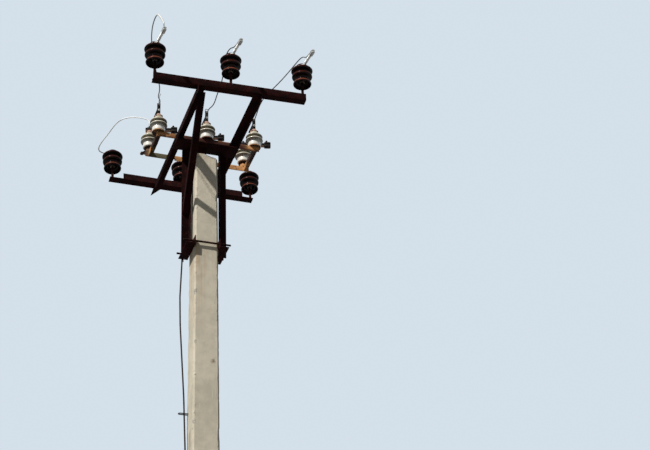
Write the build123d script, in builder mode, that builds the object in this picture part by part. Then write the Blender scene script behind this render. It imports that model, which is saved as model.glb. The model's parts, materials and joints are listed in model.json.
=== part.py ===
from build123d import *
import os
from math import ceil, cos, pi, radians, sin, tan

# Concrete utility pole for three overhead lines, with a steel head that carries
# two crossarms of pin insulators and a three-pole disconnector between them.
# Units are millimetres. +Z is up, +X runs along the crossarms and +Y goes from the
# near crossarm to the far one. The origin is the middle of the pole's flat foot at
# ground level.

# Concrete pole
pole_height = 8825.0
pole_top_width = 182.0
pole_top_depth = 176.0
pole_foot_width = 275.0
pole_foot_depth = 190.0
pole_chamfer = 14.0
chip_width = 88.0
chip_depth = 110.0
chip_drop = 26.0

# Rolled angle sections
arm_leg = 63.0
arm_thick = 6.0
chord_leg = 63.0
chord_thick = 5.0
post_leg = 63.0
post_thick = 5.0
clamp_leg = 75.0
clamp_thick = 6.0
brace_leg = 50.0
brace_thick = 5.0

# Head plate, and the stub that seats it on the pole top
stub_height = 82.0
stub_leg = 70.0
stub_thick = 6.0
stub_x = -34.0
plate_width = 150.0
plate_thick = 10.0
plate_y = -50.0
post_gap_left = 112.0
post_gap_right = 128.0

# Clamp at the foot of the posts
clamp_drop = 885.0
clamp_length = 262.0
seat_gap = 0.3
rod_diameter = 16.0
rod_length = 380.0
rod_spread = 216.0
rod_rise = 30.0
rod_hole = 18.0
nut_size = 26.0
nut_height = 13.0

# Chords that run from crossarm to crossarm, and the knee brace
chord_span = 512.0
chord_mid_x = 6.0
chord_near_y = -770.0
chord_far_y = 655.0
chord_tail = 150.0
far_tilt = 8.0
brace_top_x = -220.0
brace_top_y = -690.0
brace_foot_drop = 545.0

# Crossarms
near_arm_length = 1224.0
near_arm_x = 8.0
near_arm_y = -772.0
near_arm_yaw = -2.0
far_arm_length = 1238.0
far_arm_leg_length = 1030.0
far_arm_x = -12.0
far_leg_x = 10.0
near_pin_offsets = (-595.0, 11.0, 594.0)
far_pin_offsets = (-592.0, 4.0, 604.0)
pin_edge = 34.0

# Pin insulators and their pins
pin_diameter = 22.0
pin_collar = 38.0
pin_collar_height = 10.0
near_pin_stand = 165.0
far_pin_stand = 116.0
bell_diameter = 172.0
bell_height = 190.0
bell_bore = 30.0
bell_bore_depth = 90.0
groove_height = 0.875
groove_size = 0.50

# Line ties on the near insulators: a ring in the groove, a leg and a clamp
tie_wire = 9.0
tie_leg = 11.0
tie_reach = 215.0
tie_turn = 6.5
tie_clamp_length = 58.0
tie_clamp_width = 30.0
tie_clamp_height = 30.0

# Disconnector frame
frame_length = 854.0
frame_x = 21.0
frame_y = -60.0
frame_rise = 16.0
frame_leg = 45.0
frame_beam = 45.0
frame_overhang = 24.0
frame_notch = 4.0
frame_thick = 5.0

# Disconnector columns
far_phase_x = 8.0
near_phase_x = 13.0
phase_pitch = 402.0
row_gap = 300.0
column_diameter = 143.0
column_waist = 96.0
column_foot = 104.0
column_height = 144.0
cap_diameter = 66.0
cap_height = 30.0
foot_plate = 8.0

# Turning columns, their bearings, levers and link
shaft_diameter = 25.0
bearing_diameter = 58.0
bearing_height = 30.0
bearing_fit = 0.05
lever_thick = 8.0
lever_radius = 82.0
lever_width = 30.0
lever_open_angle = 124.0
seat_height = 12.0
seat_diameter = 84.0
link_pin_diameter = 12.0
link_pin_fit = 0.3
link_width = 22.0
link_thick = 6.0
shaft_tail = 14.0

# Blades and fixed contacts: each blade is two flat bars that close over a flat finger
blade_open_angle = -14.0
blade_reach = 228.0
blade_back = 34.0
blade_width = 32.0
blade_bar = 6.0
blade_gap = 11.0
blade_block = 46.0
blade_tip_length = 54.0
blade_tip_width = 42.0
blade_tip_pad = 8.0
head_stud_diameter = 18.0
head_stud_height = 24.0
finger_width = 18.0
finger_thick = 8.0
finger_grip = 44.0
lug_width = 26.0
lug_thick = 8.0
lug_rise = 56.0
lug_hole = 11.0
lug_hole_drop = 72.0

# Jumper wires
jumper_diameter = 7.0
jumper_sink = 0.4
jumper_run = 92.0
jumper_end_run = 56.0

# Earthing rod down the pole and the staples that hold it
earth_rod_diameter = 12.0
earth_rod_gap = 24.0
earth_rod_bend = 600.0
staple_wire = 8.0
staple_reach = 62.0
staple_heights = (6550.0, 4600.0, 2650.0, 700.0)

# Heights of the head, worked out from the pole top up
plate_bottom_z = pole_height + stub_height
chord_top_z = plate_bottom_z + plate_thick + chord_leg
frame_top_z = chord_top_z + frame_rise
clamp_z = pole_height - clamp_drop
near_row_y = frame_y + frame_beam / 2
far_row_y = near_row_y + row_gap

os.makedirs("parts", exist_ok=True)


def pole_width_at(z):
    """Width of the pole along X at a height above the ground."""
    return pole_foot_width + (pole_top_width - pole_foot_width) * z / pole_height


def pole_depth_at(z):
    """Depth of the pole along Y at a height above the ground."""
    return pole_foot_depth + (pole_top_depth - pole_foot_depth) * z / pole_height


def angle_section(leg, thick, sign_x=1, sign_y=1):
    """Section of a rolled angle with its heel on the origin."""
    with BuildSketch() as section:
        with BuildLine():
            Polyline(
                (0, 0),
                (sign_x * leg, 0),
                (sign_x * leg, sign_y * thick),
                (sign_x * thick, sign_y * thick),
                (sign_x * thick, sign_y * leg),
                (0, sign_y * leg),
                close=True,
            )
        make_face()
    return section.sketch


def save(builder, name):
    """Label a finished part and write it as its own STEP file."""
    builder.part.label = name
    export_step(builder.part, f"parts/{name}.step")


# Concrete pole, tapered in both directions, with its arrises chamfered
with BuildPart() as concrete_pole:
    with BuildSketch() as pole_foot:
        Rectangle(pole_foot_width, pole_foot_depth)
        chamfer(pole_foot.vertices(), pole_chamfer)
    with BuildSketch(Plane.XY.offset(pole_height)) as pole_head:
        Rectangle(pole_top_width, pole_top_depth)
        chamfer(pole_head.vertices(), pole_chamfer)
    loft()
    # The front right corner of the top has broken away
    with BuildSketch(Plane.XZ.offset(pole_top_depth / 2 + 1)):
        with BuildLine():
            Polyline(
                (pole_top_width / 2 - chip_width, pole_height + 1),
                (pole_top_width / 2 - chip_width, pole_height),
                (pole_top_width / 2 - chip_width / 2, pole_height - chip_drop / 2.4),
                (pole_top_width / 2 + 1, pole_height - chip_drop),
                (pole_top_width / 2 + 1, pole_height + 1),
                close=True,
            )
        make_face()
    extrude(amount=-chip_depth, mode=Mode.SUBTRACT)
save(concrete_pole, "concrete_pole")

# Short angle that stands on the pole top under the head plate
with BuildPart() as pole_top_stub:
    stub_corner = (stub_x - stub_leg / 2, -pole_top_depth / 2 + pole_chamfer, pole_height)
    with BuildSketch(Plane(stub_corner)):
        add(angle_section(stub_leg, stub_thick))
    extrude(amount=stub_height)
save(pole_top_stub, "pole_top_stub")

# Flat plate across the posts, under the two chords
with BuildPart() as head_plate:
    with BuildSketch(Plane.XY.offset(plate_bottom_z)):
        with Locations((chord_mid_x, plate_y)):
            Rectangle(chord_span, plate_width)
    extrude(amount=plate_thick)
save(head_plate, "head_plate")

# Two posts, one at each side of the pole, standing on the clamp angles
post_foot_z = clamp_z + clamp_thick
for side, gap, name in ((-1, post_gap_left, "post_left"), (1, post_gap_right, "post_right")):
    with BuildPart() as post:
        with BuildSketch(Plane((side * gap, post_leg / 2, post_foot_z))):
            add(angle_section(post_leg, post_thick, side, -1))
        extrude(amount=plate_bottom_z - post_foot_z)
    save(post, name)

# Clamp angles against the sides of the pole, holed for the two clamp rods
clamp_face_x = pole_width_at(clamp_z) / 2 + seat_gap
rod_z = clamp_z + clamp_thick + rod_rise
for side, name in ((-1, "clamp_angle_left"), (1, "clamp_angle_right")):
    with BuildPart() as clamp:
        clamp_plane = Plane(
            (side * clamp_face_x, clamp_length / 2, clamp_z), x_dir=(1, 0, 0), z_dir=(0, -1, 0)
        )
        with BuildSketch(clamp_plane):
            add(angle_section(clamp_leg, clamp_thick, side, 1))
        extrude(amount=clamp_length)
        with BuildSketch(Plane.YZ.offset(side * clamp_face_x)):
            with Locations((-rod_spread / 2, rod_z), (rod_spread / 2, rod_z)):
                Circle(rod_hole / 2)
        extrude(amount=side * clamp_thick, mode=Mode.SUBTRACT)
    save(clamp, name)

# Threaded rods that draw the two clamp angles together, each with its nuts
for row, name in ((-1, "clamp_rod_near"), (1, "clamp_rod_far")):
    with BuildPart() as rod:
        with BuildSketch(Plane.YZ.offset(-rod_length / 2)):
            with Locations((row * rod_spread / 2, rod_z)):
                Circle(rod_diameter / 2)
        extrude(amount=rod_length)
        for side in (-1, 1):
            with BuildSketch(Plane.YZ.offset(side * (clamp_face_x + clamp_thick))):
                with Locations((row * rod_spread / 2, rod_z)):
                    RegularPolygon(nut_size / 2, 6)
            extrude(amount=side * nut_height)
    save(rod, name)

# Chords: flange on top, outer leg down, far end bent down under the far crossarm
tail_y = chord_far_y + chord_tail * cos(radians(far_tilt))
tail_z = chord_top_z - chord_tail * sin(radians(far_tilt))
under_y = chord_thick * sin(radians(far_tilt))
under_z = chord_thick * cos(radians(far_tilt))
for side, name in ((-1, "chord_left"), (1, "chord_right")):
    outer_x = chord_mid_x + side * chord_span / 2
    with BuildPart() as chord:
        with BuildSketch(Plane.YZ.offset(outer_x)):
            with BuildLine():
                Polyline(
                    (chord_near_y, chord_top_z),
                    (chord_far_y, chord_top_z),
                    (tail_y, tail_z),
                    (tail_y - under_y, tail_z - under_z),
                    (chord_far_y - chord_thick * tan(radians(far_tilt / 2)), chord_top_z - chord_thick),
                    (chord_near_y, chord_top_z - chord_thick),
                    close=True,
                )
            make_face()
        extrude(amount=-side * chord_leg)
        with BuildSketch(Plane.YZ.offset(outer_x)):
            with BuildLine():
                Polyline(
                    (chord_near_y, chord_top_z),
                    (chord_far_y - chord_thick, chord_top_z),
                    (chord_far_y - chord_thick, chord_top_z - chord_leg / 2),
                    (chord_far_y - chord_leg / 2, chord_top_z - chord_leg),
                    (chord_near_y, chord_top_z - chord_leg),
                    close=True,
                )
            make_face()
        extrude(amount=-side * chord_thick)
        # The tail is sawn off at a slant and stays longest at its outer edge
        with BuildSketch(Plane.XY.offset(tail_z - chord_leg)):
            with BuildLine():
                Polyline(
                    (outer_x - side * (chord_leg + 1), chord_far_y + chord_tail / 3),
                    (outer_x - side * (chord_leg + 1), tail_y + 1),
                    (outer_x, tail_y + 1),
                    close=True,
                )
            make_face()
        extrude(amount=2 * chord_leg, mode=Mode.SUBTRACT)
    save(chord, name)

# Knee brace from the near end of the left chord down to the left post
brace_top = Vector(brace_top_x, brace_top_y, chord_top_z - chord_thick)
brace_foot_x = -post_gap_left - post_thick - seat_gap - brace_leg
brace_foot = Vector(brace_foot_x, post_leg / 2 - post_thick, pole_height - brace_foot_drop)
brace_way = brace_top - brace_foot
with BuildPart() as knee_brace:
    brace_plane = Plane(brace_foot - brace_way * 0.1, x_dir=(1, 0, 0), z_dir=brace_way)
    with BuildSketch(brace_plane):
        add(angle_section(brace_leg, brace_thick, 1, 1))
    extrude(amount=brace_way.length * 1.2)
    split(bisect_by=Plane(brace_top, z_dir=(0, 0, 1)), keep=Keep.BOTTOM)
    split(bisect_by=Plane(brace_foot, z_dir=(0, 1, 0)), keep=Keep.BOTTOM)
save(knee_brace, "knee_brace_left")

# Near crossarm: an angle with its leg up on the near side, bolted on slightly askew
near_base = Pos(near_arm_x, near_arm_y, chord_top_z) * Rot(0, 0, near_arm_yaw)
with BuildPart() as crossarm_near:
    with BuildSketch(Plane(near_base) * Plane.YZ.offset(-near_arm_length / 2)):
        add(angle_section(arm_leg, arm_thick))
    extrude(amount=near_arm_length)
    with Locations(*[near_base * Pos(x, pin_edge, 0) for x in near_pin_offsets]):
        Cylinder(pin_diameter / 2, 3 * arm_thick, mode=Mode.SUBTRACT)
save(crossarm_near, "crossarm_near")

# Far crossarm: the same angle, leaning back, its upright leg cut short at both ends
far_plane = Plane(
    (far_arm_x, chord_far_y, chord_top_z),
    x_dir=(0, cos(radians(far_tilt)), -sin(radians(far_tilt))),
    z_dir=(1, 0, 0),
)
with BuildPart() as crossarm_far:
    with BuildSketch(far_plane.offset(-far_arm_length / 2)):
        Rectangle(arm_leg, arm_thick, align=Align.MIN)
    extrude(amount=far_arm_length)
    with BuildSketch(far_plane.offset(far_leg_x - far_arm_leg_length / 2)):
        Rectangle(arm_thick, arm_leg, align=Align.MIN)
    extrude(amount=far_arm_leg_length)
    with Locations(*[far_plane * Pos(pin_edge, 0, x) * Rot(-90, 0, 0) for x in far_pin_offsets]):
        Cylinder(pin_diameter / 2, 3 * arm_thick, mode=Mode.SUBTRACT)
save(crossarm_far, "crossarm_far")

# Places of the pins: foot on the arm's flat leg, +Z along the pin
near_pins = [near_base * Pos(x, pin_edge, arm_thick) for x in near_pin_offsets]
far_pins = [far_plane * Pos(pin_edge, arm_thick, x) * Rot(-90, 0, 0) for x in far_pin_offsets]


def pin_profile(stand):
    """Half outline of a steel pin with a collar above the arm, riveted through it."""
    with BuildSketch() as profile:
        with BuildLine():
            Polyline(
                (0, -arm_thick),
                (pin_diameter / 2, -arm_thick),
                (pin_diameter / 2, 0),
                (pin_collar / 2, 0),
                (pin_collar / 2, pin_collar_height),
                (pin_diameter / 2, pin_collar_height),
                (pin_diameter / 2, stand + bell_bore_depth),
                (0, stand + bell_bore_depth),
                close=True,
            )
        make_face()
    return profile.sketch


# Brown pin insulator: three sheds, the widest on top, and a tie groove under a round head
bell_r = bell_diameter / 2
bell_h = bell_height
with BuildPart() as bell:
    with BuildSketch(Plane.XZ):
        with BuildLine():
            Polyline(
                (0, bell_h),
                (0, bell_bore_depth),
                (bell_bore / 2, bell_bore_depth),
                (bell_bore / 2, 0),
                (bell_r * 0.76, 0),
            )
            ThreePointArc(
                (bell_r * 0.76, 0),
                (bell_r * 0.86, bell_h * 0.05),
                (bell_r * 0.80, bell_h * 0.11),
            )
            Polyline(
                (bell_r * 0.80, bell_h * 0.11),
                (bell_r * 0.62, bell_h * 0.18),
                (bell_r * 0.64, bell_h * 0.33),
                (bell_r * 0.86, bell_h * 0.37),
            )
            ThreePointArc(
                (bell_r * 0.86, bell_h * 0.37),
                (bell_r * 0.95, bell_h * 0.43),
                (bell_r * 0.88, bell_h * 0.49),
            )
            Polyline(
                (bell_r * 0.88, bell_h * 0.49),
                (bell_r * 0.68, bell_h * 0.56),
                (bell_r * 0.68, bell_h * 0.62),
                (bell_r * 0.92, bell_h * 0.66),
            )
            ThreePointArc(
                (bell_r * 0.92, bell_h * 0.66),
                (bell_r, bell_h * 0.72),
                (bell_r * 0.92, bell_h * 0.78),
            )
            Line((bell_r * 0.92, bell_h * 0.78), (bell_r * 0.60, bell_h * 0.84))
            ThreePointArc(
                (bell_r * 0.60, bell_h * 0.84),
                (bell_r * groove_size, bell_h * groove_height),
                (bell_r * 0.57, bell_h * 0.915),
            )
            ThreePointArc(
                (bell_r * 0.57, bell_h * 0.915),
                (bell_r * 0.48, bell_h * 0.975),
                (bell_r * 0.24, bell_h),
            )
            Line((bell_r * 0.24, bell_h), (0, bell_h))
        make_face()
    revolve(axis=Axis.Z)

# Three pins and three insulators on each arm
for places, stand, row in ((near_pins, near_pin_stand, "near"), (far_pins, far_pin_stand, "far")):
    with BuildPart() as pin:
        with BuildSketch(Plane.XZ):
            add(pin_profile(stand))
        revolve(axis=Axis.Z)
    with BuildPart() as pins:
        add([place * pin.part for place in places])
    save(pins, f"insulator_pins_{row}")
    with BuildPart() as bells:
        add([place * Pos(0, 0, stand) * bell.part for place in places])
    save(bells, f"pin_insulators_{row}")

# Line ties: each ring lies in an insulator's groove and its leg ends in a clamp
tie_ring_r = bell_r * groove_size + tie_wire / 2 + seat_gap
tie_height = near_pin_stand + bell_h * groove_height
with BuildPart() as tie:
    with BuildSketch(Plane.XZ):
        with Locations((tie_ring_r, tie_height)):
            Circle(tie_wire / 2)
    revolve(axis=Axis.Z)
    with BuildSketch(Plane.XZ.offset(tie_ring_r)):
        with Locations((0, tie_height)):
            Circle(tie_leg / 2)
    extrude(amount=tie_reach - tie_ring_r)
    with Locations((0, -tie_reach, tie_height)):
        Box(tie_clamp_width, tie_clamp_length, tie_clamp_height)
tie_places = [place * Rot(0, 0, tie_turn) for place in near_pins]
for place, side in zip(tie_places, ("left", "middle", "right")):
    with BuildPart() as line_tie:
        add(place * tie.part)
    save(line_tie, f"line_tie_{side}")

# Disconnector frame: four angles with their flanges on top, notched to sit on the chords
frame_depth = row_gap + frame_beam
frame_centre = (frame_x, frame_y + frame_depth / 2)
frame_left_x = frame_x - frame_length / 2
frame_right_x = frame_x + frame_length / 2
frame_far_y = frame_y + frame_depth
far_leg_y = frame_far_y - frame_beam
near_phases = [near_phase_x + i * phase_pitch for i in (-1, 0, 1)]
far_phases = [far_phase_x + i * phase_pitch for i in (-1, 0, 1)]
with BuildPart() as disconnector_frame:
    with BuildSketch(Plane.XY.offset(frame_top_z - frame_thick)):
        with Locations(frame_centre):
            Rectangle(frame_length, frame_depth)
            Rectangle(frame_length - 2 * frame_beam, frame_depth - 2 * frame_beam, mode=Mode.SUBTRACT)
        with Locations((frame_left_x, frame_far_y)):
            Rectangle(frame_overhang, frame_beam, align=Align.MAX)
    extrude(amount=frame_thick)
    # Legs of the near and far beams, then those of the two end beams
    with BuildSketch(Plane.XY.offset(frame_top_z - frame_leg)):
        with Locations((frame_left_x, frame_y)):
            Rectangle(frame_length, frame_thick, align=Align.MIN)
        with Locations((frame_left_x - frame_overhang, far_leg_y)):
            Rectangle(frame_length + frame_overhang, frame_thick, align=Align.MIN)
        with Locations((frame_left_x, frame_y), (frame_right_x - frame_beam, frame_y)):
            Rectangle(frame_thick, far_leg_y - frame_y, align=Align.MIN)
    extrude(amount=frame_leg - frame_thick)
    # Notches over the chords
    chord_centre_x = (chord_span - chord_leg) / 2
    with Locations(*[(chord_mid_x + side * chord_centre_x, frame_centre[1], chord_top_z) for side in (-1, 1)]):
        Box(
            chord_leg + frame_notch,
            frame_depth + frame_notch,
            2 * frame_leg,
            align=(Align.CENTER, Align.CENTER, Align.MAX),
            mode=Mode.SUBTRACT,
        )
    with Locations(*[(x, far_row_y, frame_top_z) for x in far_phases]):
        Cylinder(shaft_diameter / 2 + bearing_fit, 4 * frame_thick, mode=Mode.SUBTRACT)
save(disconnector_frame, "disconnector_frame")


def column_profile():
    """Half outline of a white ribbed post insulator that stands on z = 0."""
    r = column_diameter / 2
    w = column_waist / 2
    h = column_height
    with BuildSketch() as profile:
        with BuildLine():
            Polyline(
                (0, 0),
                (column_foot / 2, 0),
                (column_foot / 2, h * 0.27),
                (w, h * 0.34),
                (r * 0.94, h * 0.39),
            )
            ThreePointArc((r * 0.94, h * 0.39), (r, h * 0.44), (r * 0.94, h * 0.49))
            Polyline((r * 0.94, h * 0.49), (w, h * 0.56), (w, h * 0.61), (r * 0.91, h * 0.64))
            ThreePointArc((r * 0.91, h * 0.64), (r * 0.97, h * 0.69), (r * 0.90, h * 0.74))
            Polyline((r * 0.90, h * 0.74), (w * 0.80, h * 0.81), (w * 0.85, h * 0.83))
            ThreePointArc((w * 0.85, h * 0.83), (w * 0.91, h * 0.865), (w * 0.84, h * 0.90))
            Polyline((w * 0.84, h * 0.90), (cap_diameter / 2, h * 0.94), (cap_diameter / 2, h), (0, h), (0, 0))
        make_face()
    return profile.sketch


def cap_profile(z):
    """Half outline of the metal cap on a column whose porcelain ends at height z."""
    c = cap_diameter / 2
    with BuildSketch() as profile:
        with BuildLine():
            Polyline(
                (0, z),
                (c, z),
                (c, z + cap_height * 0.35),
                (c * 0.55, z + cap_height),
                (0, z + cap_height),
                close=True,
            )
        make_face()
    return profile.sketch


# Fixed columns on the near beam, one node for the porcelain and one for the metal
fixed_foot_z = frame_top_z + foot_plate
fixed_cap_z = fixed_foot_z + column_height + cap_height
with BuildPart() as column:
    with BuildSketch(Plane.XZ):
        add(column_profile())
    revolve(axis=Axis.Z)
with BuildPart() as fixed_columns:
    add([Pos(x, near_row_y, fixed_foot_z) * column.part for x in near_phases])
save(fixed_columns, "fixed_columns")

with BuildPart() as fixed_column_feet:
    with Locations(*[(x, near_row_y, frame_top_z) for x in near_phases]):
        Cylinder(column_foot / 2, foot_plate, align=(Align.CENTER, Align.CENTER, Align.MIN))
save(fixed_column_feet, "fixed_column_feet")

# Turning columns: heights of their stack from the bearing up
bearing_top_z = frame_top_z + bearing_height
lever_z = bearing_top_z + seat_gap
seat_z = lever_z + lever_thick
turn_foot_z = seat_z + seat_height
turn_cap_z = turn_foot_z + column_height + cap_height
blade_z = turn_cap_z
blade_top_z = blade_z + 2 * blade_bar + blade_gap
finger_z = blade_z + blade_bar + (blade_gap - finger_thick) / 2
finger_end_y = far_row_y - blade_reach + finger_grip
lug_top_z = finger_z + finger_thick + lug_rise

# Fixed contacts: a cap, an upright lug with a bolt hole, and a finger towards the blade
for x, finger_x, side in zip(near_phases, far_phases, ("left", "middle", "right")):
    with BuildPart() as contact:
        with BuildSketch(Plane((x, near_row_y, 0), x_dir=(1, 0, 0), z_dir=(0, -1, 0))):
            add(cap_profile(fixed_foot_z + column_height))
        revolve(axis=Axis((x, near_row_y, 0), (0, 0, 1)))
        # Upright lug
        with BuildSketch(Plane.XZ.offset(-near_row_y)):
            with BuildLine():
                Polyline(
                    (x - lug_width / 2, fixed_cap_z),
                    (x + lug_width / 2, fixed_cap_z),
                    (x + lug_width / 2, lug_top_z),
                    (x - lug_width / 2, lug_top_z),
                    close=True,
                )
            make_face()
            with Locations((x, lug_top_z - lug_hole_drop)):
                Circle(lug_hole / 2, mode=Mode.SUBTRACT)
        extrude(amount=-lug_thick)
        # Finger
        with BuildSketch(Plane.XY.offset(finger_z)):
            with Locations((finger_x, near_row_y)):
                Rectangle(finger_width, finger_end_y - near_row_y, align=(Align.CENTER, Align.MIN))
        extrude(amount=finger_thick)
    save(contact, f"fixed_contact_{side}")

# Bearing housings on the far beam
with BuildPart() as bearings:
    with Locations(*[(x, far_row_y, frame_top_z) for x in far_phases]):
        Cylinder(bearing_diameter / 2, bearing_height, align=(Align.CENTER, Align.CENTER, Align.MIN))
        Cylinder(
            shaft_diameter / 2 + bearing_fit,
            bearing_height,
            align=(Align.CENTER, Align.CENTER, Align.MIN),
            mode=Mode.SUBTRACT,
        )
save(bearings, "column_bearings")

# Turning columns: shaft with lever and seat, porcelain, and blade with its cap
pin_head_z = seat_z + link_thick + 2 * seat_gap
shaft_end_z = frame_top_z - frame_thick - shaft_tail
for x, side in zip(far_phases, ("left", "middle", "right")):
    lever_tip = Vector(x, far_row_y) + Vector(lever_radius, 0).rotate(Axis.Z, lever_open_angle)
    with BuildPart() as turner:
        with BuildSketch(Plane.XY.offset(lever_z)):
            with Locations((x, far_row_y)):
                Circle(bearing_diameter / 2)
            with Locations((lever_tip.X, lever_tip.Y)):
                Circle(lever_width / 2)
            with Locations(Pos(x, far_row_y) * Rot(0, 0, lever_open_angle)):
                Rectangle(lever_radius, lever_width, align=(Align.MIN, Align.CENTER))
        extrude(amount=lever_thick)
        # Link pin with its head
        with BuildSketch(Plane.XY.offset(seat_z)):
            with Locations((lever_tip.X, lever_tip.Y)):
                Circle(link_pin_diameter / 2)
        extrude(amount=link_thick + 2 * seat_gap)
        with BuildSketch(Plane.XY.offset(pin_head_z)):
            with Locations((lever_tip.X, lever_tip.Y)):
                Circle(link_pin_diameter * 0.8)
        extrude(amount=link_thick)
        # Seat casting under the porcelain
        with BuildSketch(Plane((x, far_row_y, 0), x_dir=(1, 0, 0), z_dir=(0, -1, 0))):
            with BuildLine():
                Polyline(
                    (0, seat_z),
                    (bearing_diameter / 2, seat_z),
                    (bearing_diameter / 2, seat_z + seat_height * 0.5),
                    (seat_diameter / 2, seat_z + seat_height * 0.75),
                    (seat_diameter / 2, turn_foot_z),
                    (0, turn_foot_z),
                    close=True,
                )
            make_face()
        revolve(axis=Axis((x, far_row_y, 0), (0, 0, 1)))
        # Shaft down through the bearing
        with BuildSketch(Plane.XY.offset(shaft_end_z)):
            with Locations((x, far_row_y)):
                Circle(shaft_diameter / 2)
        extrude(amount=lever_z - shaft_end_z)
    save(turner, f"column_shaft_{side}")

    with BuildPart() as porcelain:
        add(Pos(x, far_row_y, turn_foot_z) * column.part)
    save(porcelain, f"turning_column_{side}")

    with BuildPart() as blade:
        with BuildSketch(Plane((x, far_row_y, 0), x_dir=(1, 0, 0), z_dir=(0, -1, 0))):
            add(cap_profile(turn_foot_z + column_height))
        revolve(axis=Axis((x, far_row_y, 0), (0, 0, 1)))
        # Head block, then the two flat bars with a thickened pad at each tip
        blade_place = Pos(x, far_row_y) * Rot(0, 0, blade_open_angle)
        with BuildSketch(Plane.XY.offset(blade_z)):
            with Locations(blade_place):
                RectangleRounded(blade_block, blade_block, blade_block / 6)
        extrude(amount=blade_top_z - blade_z)
        for bar_z in (blade_z, blade_top_z - blade_bar):
            with BuildSketch(Plane.XY.offset(bar_z)):
                with Locations(blade_place * Pos(-blade_back, 0)):
                    Rectangle(blade_back + blade_reach, blade_width, align=(Align.MIN, Align.CENTER))
            extrude(amount=blade_bar)
        for pad_z in (blade_z - blade_tip_pad, blade_top_z - blade_bar):
            with BuildSketch(Plane.XY.offset(pad_z)):
                with Locations(blade_place * Pos(blade_reach - blade_tip_length / 2, 0)):
                    RectangleRounded(blade_tip_length, blade_tip_width, blade_tip_width / 4)
            extrude(amount=blade_bar + blade_tip_pad)
        with BuildSketch(Plane.XY.offset(blade_top_z)):
            with Locations((x, far_row_y)):
                Circle(head_stud_diameter / 2)
        extrude(amount=head_stud_height)
    save(blade, f"blade_{side}")

# Link that turns the three columns together
link_start = Vector(far_phases[0], far_row_y) + Vector(lever_radius, 0).rotate(Axis.Z, lever_open_angle)
with BuildPart() as phase_link:
    with BuildSketch(Plane.XY.offset(seat_z + seat_gap)):
        with Locations((link_start.X + phase_pitch, link_start.Y)):
            SlotCenterToCenter(2 * phase_pitch, link_width)
        with Locations(*[(link_start.X + i * phase_pitch, link_start.Y) for i in range(3)]):
            Circle(link_pin_diameter / 2 + link_pin_fit, mode=Mode.SUBTRACT)
    extrude(amount=link_thick)
save(phase_link, "phase_link")

# Earthing rod: from the end of the left clamp angle down the left side of the pole
earth_rod_y = clamp_length / 2 + earth_rod_diameter / 2 + seat_gap
rod_line_z = clamp_z - 1740
rod_line_y = 20.0
earth_rod_points = [
    (-clamp_face_x - clamp_leg * 0.55, earth_rod_y, clamp_z + 30),
    (-clamp_face_x - clamp_leg * 0.75, earth_rod_y, clamp_z - 340),
    (-clamp_face_x - clamp_leg * 0.72, earth_rod_y - 8, clamp_z - 590),
    (-pole_width_at(clamp_z - 1240) / 2 - 32, 60.0, clamp_z - 1240),
    (-pole_width_at(rod_line_z) / 2 - earth_rod_gap, rod_line_y, rod_line_z),
    (-pole_width_at(0) / 2 - earth_rod_gap, rod_line_y, 0.0),
]
with BuildPart() as earthing_rod:
    with BuildLine() as earth_path:
        FilletPolyline(*earth_rod_points, radius=earth_rod_bend)
    with BuildSketch(Plane(earth_path.line @ 0, z_dir=earth_path.line % 0)):
        Circle(earth_rod_diameter / 2)
    sweep()
    split(bisect_by=Plane.XY, keep=Keep.TOP)
save(earthing_rod, "earthing_rod")


def earth_rod_at(z):
    """Centre of the earthing rod at a height, taken along its straight runs."""
    for upper, lower in zip(earth_rod_points, earth_rod_points[1:]):
        if lower[2] <= z <= upper[2]:
            share = (z - lower[2]) / (upper[2] - lower[2])
            x = lower[0] + share * (upper[0] - lower[0])
            y = lower[1] + share * (upper[1] - lower[1])
    return x, y


# Staples: hairpins of wire out of the pole's left face, one leg on each side of the rod
staple_pitch = earth_rod_diameter / 2 + staple_wire / 2 + 2 * seat_gap
with BuildPart() as earthing_staples:
    for z in staple_heights:
        rod_x, rod_y = earth_rod_at(z)
        face_x = -pole_width_at(z) / 2 - seat_gap
        turn_x = face_x - staple_reach
        with BuildLine() as staple_path:
            Line((face_x, rod_y + staple_pitch, z), (turn_x, rod_y + staple_pitch, z))
            ThreePointArc(
                (turn_x, rod_y + staple_pitch, z),
                (turn_x - staple_pitch, rod_y, z),
                (turn_x, rod_y - staple_pitch, z),
            )
            Line((turn_x, rod_y - staple_pitch, z), (face_x, rod_y - staple_pitch, z))
        with BuildSketch(Plane(staple_path.line @ 0, z_dir=staple_path.line % 0)):
            Circle(staple_wire / 2)
        sweep()
save(earthing_staples, "earthing_staples")

# Jumper wires. Each near one goes from its line clamp, behind the near crossarm, to the
# near face of its contact lug
def clamp_point(place, across, upward):
    """A point of a line clamp, given across it and above its middle."""
    return (place * Pos(across, -tie_reach, tie_height + upward)).position


tie_z = chord_top_z + arm_thick + tie_height
clamp_left, clamp_middle, clamp_right = [clamp_point(place, 0, 0) for place in tie_places]
left_x, middle_x, right_x = near_phases
lug_wire_z = lug_top_z - 18
lug_wire_y = near_row_y - seat_gap
up, away, down, leftward = Vector(0, 0, 1), Vector(0, 1, 0), Vector(0, 0, -1), Vector(-1, 0, 0)
jumper_left_keys = [
    clamp_left + Vector(-2, 100, 205),
    clamp_left + Vector(-24, 160, 284),
    clamp_left + Vector(-39, 250, 186),
    clamp_left + Vector(-27, 300, 98),
    clamp_left + Vector(24, 380, -80),
    clamp_left + Vector(87, 490, -150),
    Vector(left_x - 55, near_row_y - 213, tie_z - 108),
]
jumper_middle_keys = [
    clamp_middle + Vector(-46, 200, 50),
    clamp_middle + Vector(-46, 300, 16),
    clamp_middle + Vector(-32, 396, -70),
    clamp_middle + Vector(-30, 556, -100),
    Vector(middle_x + 12, near_row_y - 130, tie_z - 66),
]
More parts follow.
